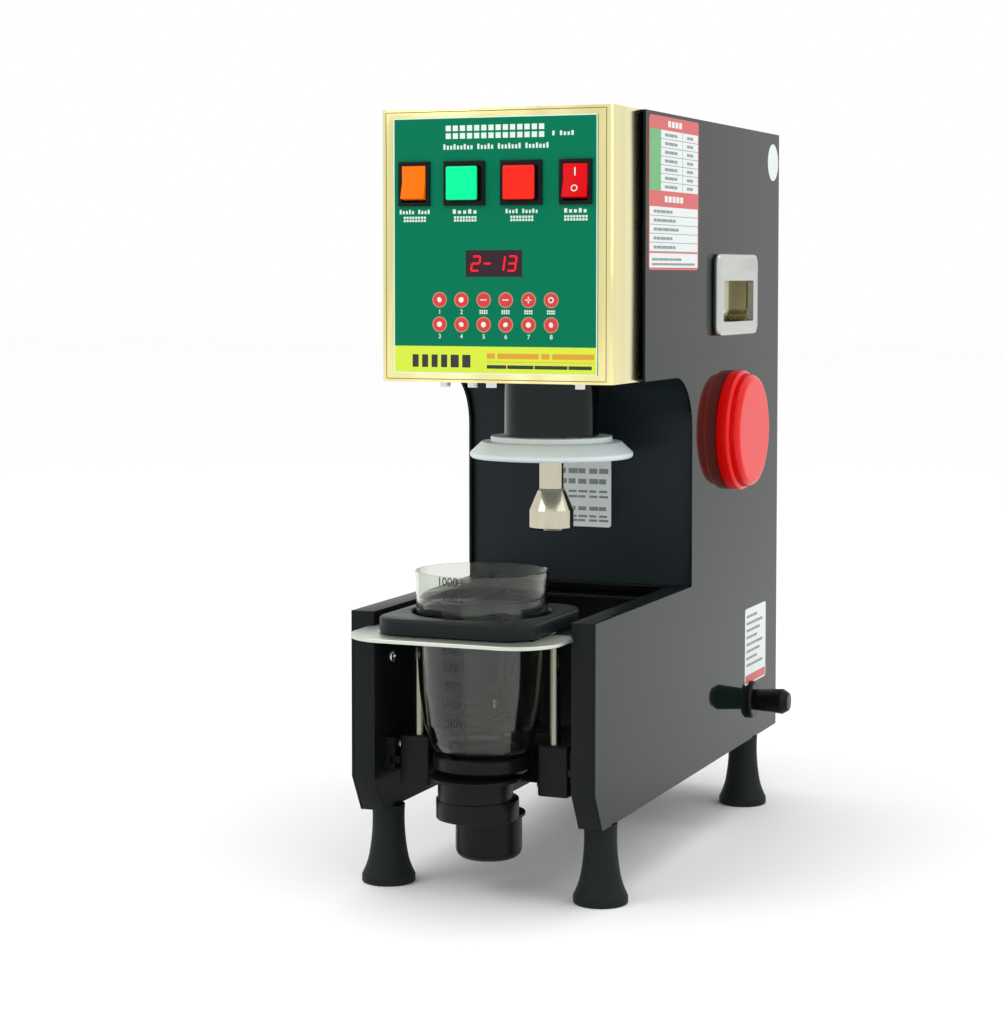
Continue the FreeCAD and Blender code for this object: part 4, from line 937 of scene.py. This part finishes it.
marks = [stroke(-HALF_LINE, HALF_LINE, LINE_LOW, LINE_HIGH)]
pick(marks[0], "EDGE", lambda middle, way: abs(way.z) > 0.9)
bpy.ops.mesh.subdivide(number_cuts=40)
leave_edit_mode()
heights = list(LEVELS.values())
for text, z in LEVELS.items():
    marks.append(stroke(MARK_LEFT, MARK_RIGHT, z - LONG_MARK, z + LONG_MARK))
    across = WIDE_FIGURE_LEFT if text == "1000" else FIGURE_LEFT
    marks.append(lettering("figure", text, FIGURE_TALL, (across * MM, -0.05 * MM, z * MM), FACING_FRONT,
                           thick=0.06, bold=0.08))
for low_z, high_z in zip(heights, heights[1:]):
    between = (low_z + high_z) / 2
    marks.append(stroke(0, MARK_RIGHT, between - SHORT_MARK, between + SHORT_MARK))
for piece in marks:
    wrap_round_cup(piece)
fit(joined("cup_scale", marks), black_ink, "cup", "black_plastic")

# %% [markdown]
# ## Carrying recesses
# A bright plate is set over a pressed pocket. The plate is a rounded slab with a window cut through
# it. The pocket is a box opened towards the outside, with generous bends along all its edges but the
# top ones, and its sheet thickness is added last.

# %% Carrying recesses
plate_low, plate_high = millimetres("carry_recess_right")
FRAME_IN = plate_high[0] - 6.5
WINDOW_FRONT, WINDOW_BACK, WINDOW_LOW, WINDOW_HIGH = 132.0, 223.0, 448.0, 484.0
PLATE_CORNER, PLATE_EDGE = 9, 2.4
POCKET_BEND, POCKET_SHEET = 11, 1.1


def sided(side, x0, x1):
    """Two X places on the right side, or their mirror images in rising order."""
    return (x0, x1) if side > 0 else (-x1, -x0)


def window_block(side, x0, x1, corner):
    a, b = sided(side, x0, x1)
    return slab("window", (a, WINDOW_FRONT, WINDOW_LOW), (b, WINDOW_BACK, WINDOW_HIGH), corner=corner, thin=0)


def carrying_recess(side, name, node):
    a, b = sided(side, FRAME_IN, plate_high[0])
    plate = slab("plate", (a, plate_low[1], plate_low[2]), (b, plate_high[1], plate_high[2]),
                 corner=PLATE_CORNER, soft=PLATE_EDGE, thin=0)
    cutter = window_block(side, FRAME_IN - 5, plate_high[0] + 5, 1.5)
    modify(plate, "BOOLEAN", object=cutter, operation="DIFFERENCE", solver="EXACT")
    bpy.data.objects.remove(cutter)
    pocket = window_block(side, plate_low[0] + 1.2, FRAME_IN + 1, 0)
    pick(pocket, "FACE", lambda middle, normal: normal.x * side > 0.9)
    bpy.ops.mesh.delete(type="FACE")
    leave_edit_mode()
    rim = side * (FRAME_IN + 1) * MM + AXIS.x
    top = WINDOW_HIGH * MM
    pick(pocket, "EDGE", lambda middle, way: abs(middle.x - rim) > 0.001 and middle.z < top - 0.001)
    bpy.ops.mesh.bevel(offset=POCKET_BEND * MM, segments=10, affect="EDGES")
    bpy.ops.mesh.select_all(action="SELECT")
    bpy.ops.mesh.normals_make_consistent(inside=False)
    leave_edit_mode()
    modify(pocket, "SOLIDIFY", thickness=POCKET_SHEET * MM, offset=1.0)
    fit(smooth(pocket), pocket_steel, "root", "stainless").name = name + "_pocket"
    fit(smooth(plate), plate_steel, "root", "stainless", node).name = name + "_plate"


carrying_recess(1, "recess_right", "carry_recess_right")
carrying_recess(-1, "recess_left", "carry_recess_left")

# %% [markdown]
# ## Labels on the side
# Four paper labels: a table of programs high on the right side, a small round one, a small one by
# the back foot, and one on the wall behind the pestle. Apart from the round one each is a thin slab
# with rounded corners, and its print is bars that stand a few hundredths of a millimetre further out.

# %% Bars on the side panel
SIDE = FRAME_IN
PAPER, PRINT, OVERPRINT = 0.22, 0.28, 0.36  # how far each layer stands out of the panel


def side_bar(y0, y1, z0, z1, proud=PRINT, corner=0.0):
    return slab("bar", (SIDE - 0.1, y0, z0), (SIDE + proud, y1, z1), corner=corner, thin=0, steps=5)


def side_words(y0, y1, z0, z1, lengths, proud=OVERPRINT):
    return blocks(lambda *ends: side_bar(*ends, proud), y0, y1, z0, z1, lengths, gap=0.5)


def on_side(name, pieces, finish):
    fit(joined(name, pieces), finish, "root", "graphite_paint")


# %% [markdown]
# The table is red paper with two white sheets on it. The upper sheet has six rows and a green column,
# the lower one five lines of notes, and both are ruled in grey.

# %% The table of programs
T0, T1, TL, TH = -52.0, 78.0, 493.0, 617.0  # front, back, bottom and top of the paper
UPPER, UPPER_TOP, LOWER_TOP = 557, TH - 11, 544
ROW, NOTE_ROW, HALF_RULE = 7.0, 7.2, 0.25
TEXT_LOW, TEXT_HIGH = 2.2, 4.6
GREEN_FROM, GREEN_TO, COLUMN_RULE = T0 + 2, T0 + 30, T0 + 86

on_side("table_label", [side_bar(T0, T1, TL, TH, PAPER, 4)], red_print)
sheets = [side_bar(T0 + 2, T1 - 2, UPPER, UPPER_TOP), side_bar(T0 + 2, T1 - 2, TL + 2, LOWER_TOP)]
sheets += side_words(-4, 32, TH - 8, TH - 3, [1] * 4, PRINT) + side_words(-12, 36, 548, 553, [1] * 5, PRINT)
on_side("table_sheets", sheets, paper)
on_side("table_column", [side_bar(GREEN_FROM, GREEN_TO, UPPER, UPPER_TOP, 0.32)], green_print)


def rule(z):
    return side_bar(T0 + 2, T1 - 2, z - HALF_RULE, z + HALF_RULE, OVERPRINT)


rows = [UPPER_TOP - ROW * i for i in range(1, 7)]
lines = [rule(z) for z in rows] + [side_bar(COLUMN_RULE, COLUMN_RULE + 0.6, UPPER, UPPER_TOP, OVERPRINT)]
for z in rows + [UPPER]:
    lines += side_words(T0 + 40, T0 + 72, z + TEXT_LOW, z + TEXT_HIGH, [3, 4, 2])
    lines += side_words(T0 + 98, T0 + 114, z + TEXT_LOW, z + TEXT_HIGH, [1, 1])
for i in range(5):
    z = LOWER_TOP - NOTE_ROW * (i + 1)
    lines += [rule(z)]
    lines += side_words(T0 + 12, T0 + 60 + 8 * (i % 3), z + TEXT_LOW, z + TEXT_HIGH, [2, 3, 4, 3, 2])
lines += side_words(T0 + 8, T0 + 84, TL + 7.6, TL + 9.6, [3, 5, 2, 4])
lines += side_words(T0 + 8, T0 + 120, TL + 3.8, TL + 5.6, [4, 3, 6, 5])
on_side("table_lines", lines, grey_print)
on_side("table_rule", [side_bar(T0 + 2, T1 - 2, 506.6, 507.6, 0.4)], red_print)

# %% [markdown]
# The round label is a low cylinder whose rim is stepped by an inset. The one by the back foot is
# white with a red band at its bottom and eight lines of print.

# %% The round label and the one by the foot
DOT_RADIUS, DOT_DEPTH = 17, 0.4
FOOT_LABEL, FOOT_BAND = (224, 291, 114.6, 184.8), (226, 289, 116, 123.5)
NOTE_TOP, NOTE_PITCH, NOTE_TALL = 176, 6.4, 2.4

dot = primitive("cylinder", "round_label", at(SIDE + 0.1, 306.6, 593.4), turn=(0, math.radians(90), 0),
                radius=DOT_RADIUS * MM, depth=DOT_DEPTH * MM, vertices=64)
pick(dot, "FACE", lambda middle, normal: normal.x > 0.9)
bpy.ops.mesh.inset(thickness=1.0 * MM, depth=0.05 * MM)
leave_edit_mode()
on_side("round_label", [dot], paper)

on_side("foot_label", [side_bar(*FOOT_LABEL, PAPER, 3)], paper)
on_side("foot_label_band", [side_bar(*FOOT_BAND)], red_print)
small = []
for i in range(8):
    z = NOTE_TOP - NOTE_PITCH * i
    small += side_words(229, 262 + 9 * ((i * 2) % 3), z, z + NOTE_TALL, [3, 2, 4])
on_side("foot_label_lines", small, grey_print)

# %% [markdown]
# The label behind the pestle stands on the throat's back wall. Its words are blocks in columns, and
# its two red lines stand above them.

# %% The label on the throat's wall
WALL_COLUMNS = (-30, -21, -11, -2, 8, 17)
WALL_LINES = ((318, 4.4), (309, 4.4), (301.5, 2), (297, 2), (286, 3.4), (280, 2), (276.4, 2))  # place, height
WALL_PRINT = 0.26
LINER_SHEET = 2.0
wall = (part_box("throat_liner")[1].y - AXIS.y) / MM - LINER_SHEET


def wall_bar(x0, x1, z0, z1, proud=WALL_PRINT, corner=0.0):
    return slab("bar", (x0, wall - proud, z0), (x1, wall + 0.1, z1), corner=corner, steps=4)


fit(wall_bar(-34, 28, 272, 350, 0.2, 2.5), paper, "root", "black_paint").name = "wall_label"
wall_red = [wall_bar(-20, 4, 327, 333), wall_bar(-20, 10, 334.6, 341)]
fit(joined("wall_label_red", wall_red), red_print, "root", "black_paint")
notes = []
for i, (z, tall) in enumerate(WALL_LINES):
    notes += [wall_bar(x, x + 6.4 + (i + j) % 3, z, z + tall) for j, x in enumerate(WALL_COLUMNS)]
fit(joined("wall_label_lines", notes), grey_print, "root", "black_paint")

# %% [markdown]
# ## Screws
# A pan-head screw is a low cylinder with a rounded top and a cross sunk into it. It is modelled once
# for each kind, standing along Z, and its copies are turned and moved to their places.

# %% One pan head
CROSS_LONG, CROSS_WIDE, CROSS_HALF = 1.0, 0.24, 0.55  # shares of the head's radius


def pan_head(radius, height):
    head = primitive("cylinder", "pan", (0, 0, height / 2 * MM), radius=radius * MM, depth=height * MM,
                     vertices=32)
    pick(head, "FACE", lambda middle, normal: normal.z > 0.9)
    bpy.ops.mesh.region_to_loop()
    bpy.ops.mesh.bevel(offset=height * 0.62 * MM, segments=4, affect="EDGES")
    leave_edit_mode()
    for width, length in ((CROSS_WIDE, CROSS_LONG), (CROSS_LONG, CROSS_WIDE)):
        cutter = primitive("cube", "slot", (0, 0, height * MM), size=1)
        for vertex in cutter.data.vertices:
            vertex.co.x = math.copysign(width * radius * CROSS_HALF * MM, vertex.co.x)
            vertex.co.y = math.copysign(length * radius * CROSS_HALF * MM, vertex.co.y)
            vertex.co.z = (height + (0.4 if vertex.co.z > height * MM else -height * CROSS_HALF)) * MM
        modify(head, "BOOLEAN", object=cutter, operation="DIFFERENCE", solver="EXACT")
        bpy.data.objects.remove(cutter)
    return smooth(head)


# %% [markdown]
# Each of the frame's screw nodes holds several screws in one mesh. Points less than 16 mm from a
# screw's first point belong to it, and the box round them gives the head its place.

# %% Screws where the frame has them
APART = 16
HEAD_HEIGHT = 2.0


def screws(name, node, radius, height, toward):
    """Screw heads over each solid of a node. toward gives the way a head faces from its middle."""
    groups = []
    for co in (vertex.co for vertex in frame["nodes"][node].data.vertices):
        for group in groups:
            if (group[0] - co).length < APART * MM:
                group.append(co)
                break
        else:
            groups.append([co.copy()])
    kinds, heads = {}, []
    for group in groups:
        low = Vector([min(co[i] for co in group) for i in range(3)])
        high = Vector([max(co[i] for co in group) for i in range(3)])
        middle = (low + high) / 2
        way = toward(middle)
        size = round(radius(high - low), 3)
        if size not in kinds:
            kinds[size] = pan_head(size, height)
        head = twin_of(kinds[size])
        head.rotation_mode = "QUATERNION"
        head.rotation_quaternion = Vector(way).to_track_quat("Z", "Y")
        head.location = [low[i] if way[i] > 0.5 else high[i] if way[i] < -0.5 else middle[i]
                         for i in range(3)]
        heads.append(settle(head))
    for kind in kinds.values():
        bpy.data.objects.remove(kind)
    print(len(heads), "heads for", node)
    fit(joined(name, heads), bright_steel, "root", "bright_steel", node)


screws("cheek_screws", "wall_screws", lambda size: max(size.y, size.z) / 2 / MM, HEAD_HEIGHT,
       lambda middle: (-1, 0, 0) if middle.x > AXIS.x else (1, 0, 0))
screws("top_screws", "cover_screws", lambda size: size.x / 2 / MM, HEAD_HEIGHT, lambda middle: (0, 0, 1))

# %% [markdown]
# ## The back
# Nothing of the back can be seen from the front, so it gets what such machines have: a mains inlet
# with three pins, and pan-head screws round the rear cover.

# %% Inlet pins and rear screws
PINS = ((-7, 119.5), (0, 125), (7, 119.5))
PIN_ROOT, PIN_TIP = 18.5, 4  # how deep a pin starts and ends behind the inlet's face
inlet_face = millimetres("power_inlet")[1][1]
pins = []
for x, z in PINS:
    pins.append(slab("pin", (x - 1, inlet_face - PIN_ROOT, z - 2.4), (x + 1, inlet_face - PIN_TIP, z + 2.4),
                     corner=0.6, soft=0.4))
fit(smooth(joined("inlet_pins", pins)), bright_steel, "root", "bright_steel")

REAR_HEIGHTS = (80, 215, 350, 485, 605)
FROM_EDGE = 8
rear_low, rear_high = millimetres("rear_cover")
rear_head = pan_head(3.4, 1.8)
rear_head.rotation_euler = (math.radians(-90), 0, 0)
places = [at(x, rear_high[1], z) for x in (rear_low[0] + FROM_EDGE, rear_high[0] - FROM_EDGE)
          for z in REAR_HEIGHTS]
fit(copy_to(settle(rear_head), "rear_screws", places), bright_steel, "root", "bright_steel")
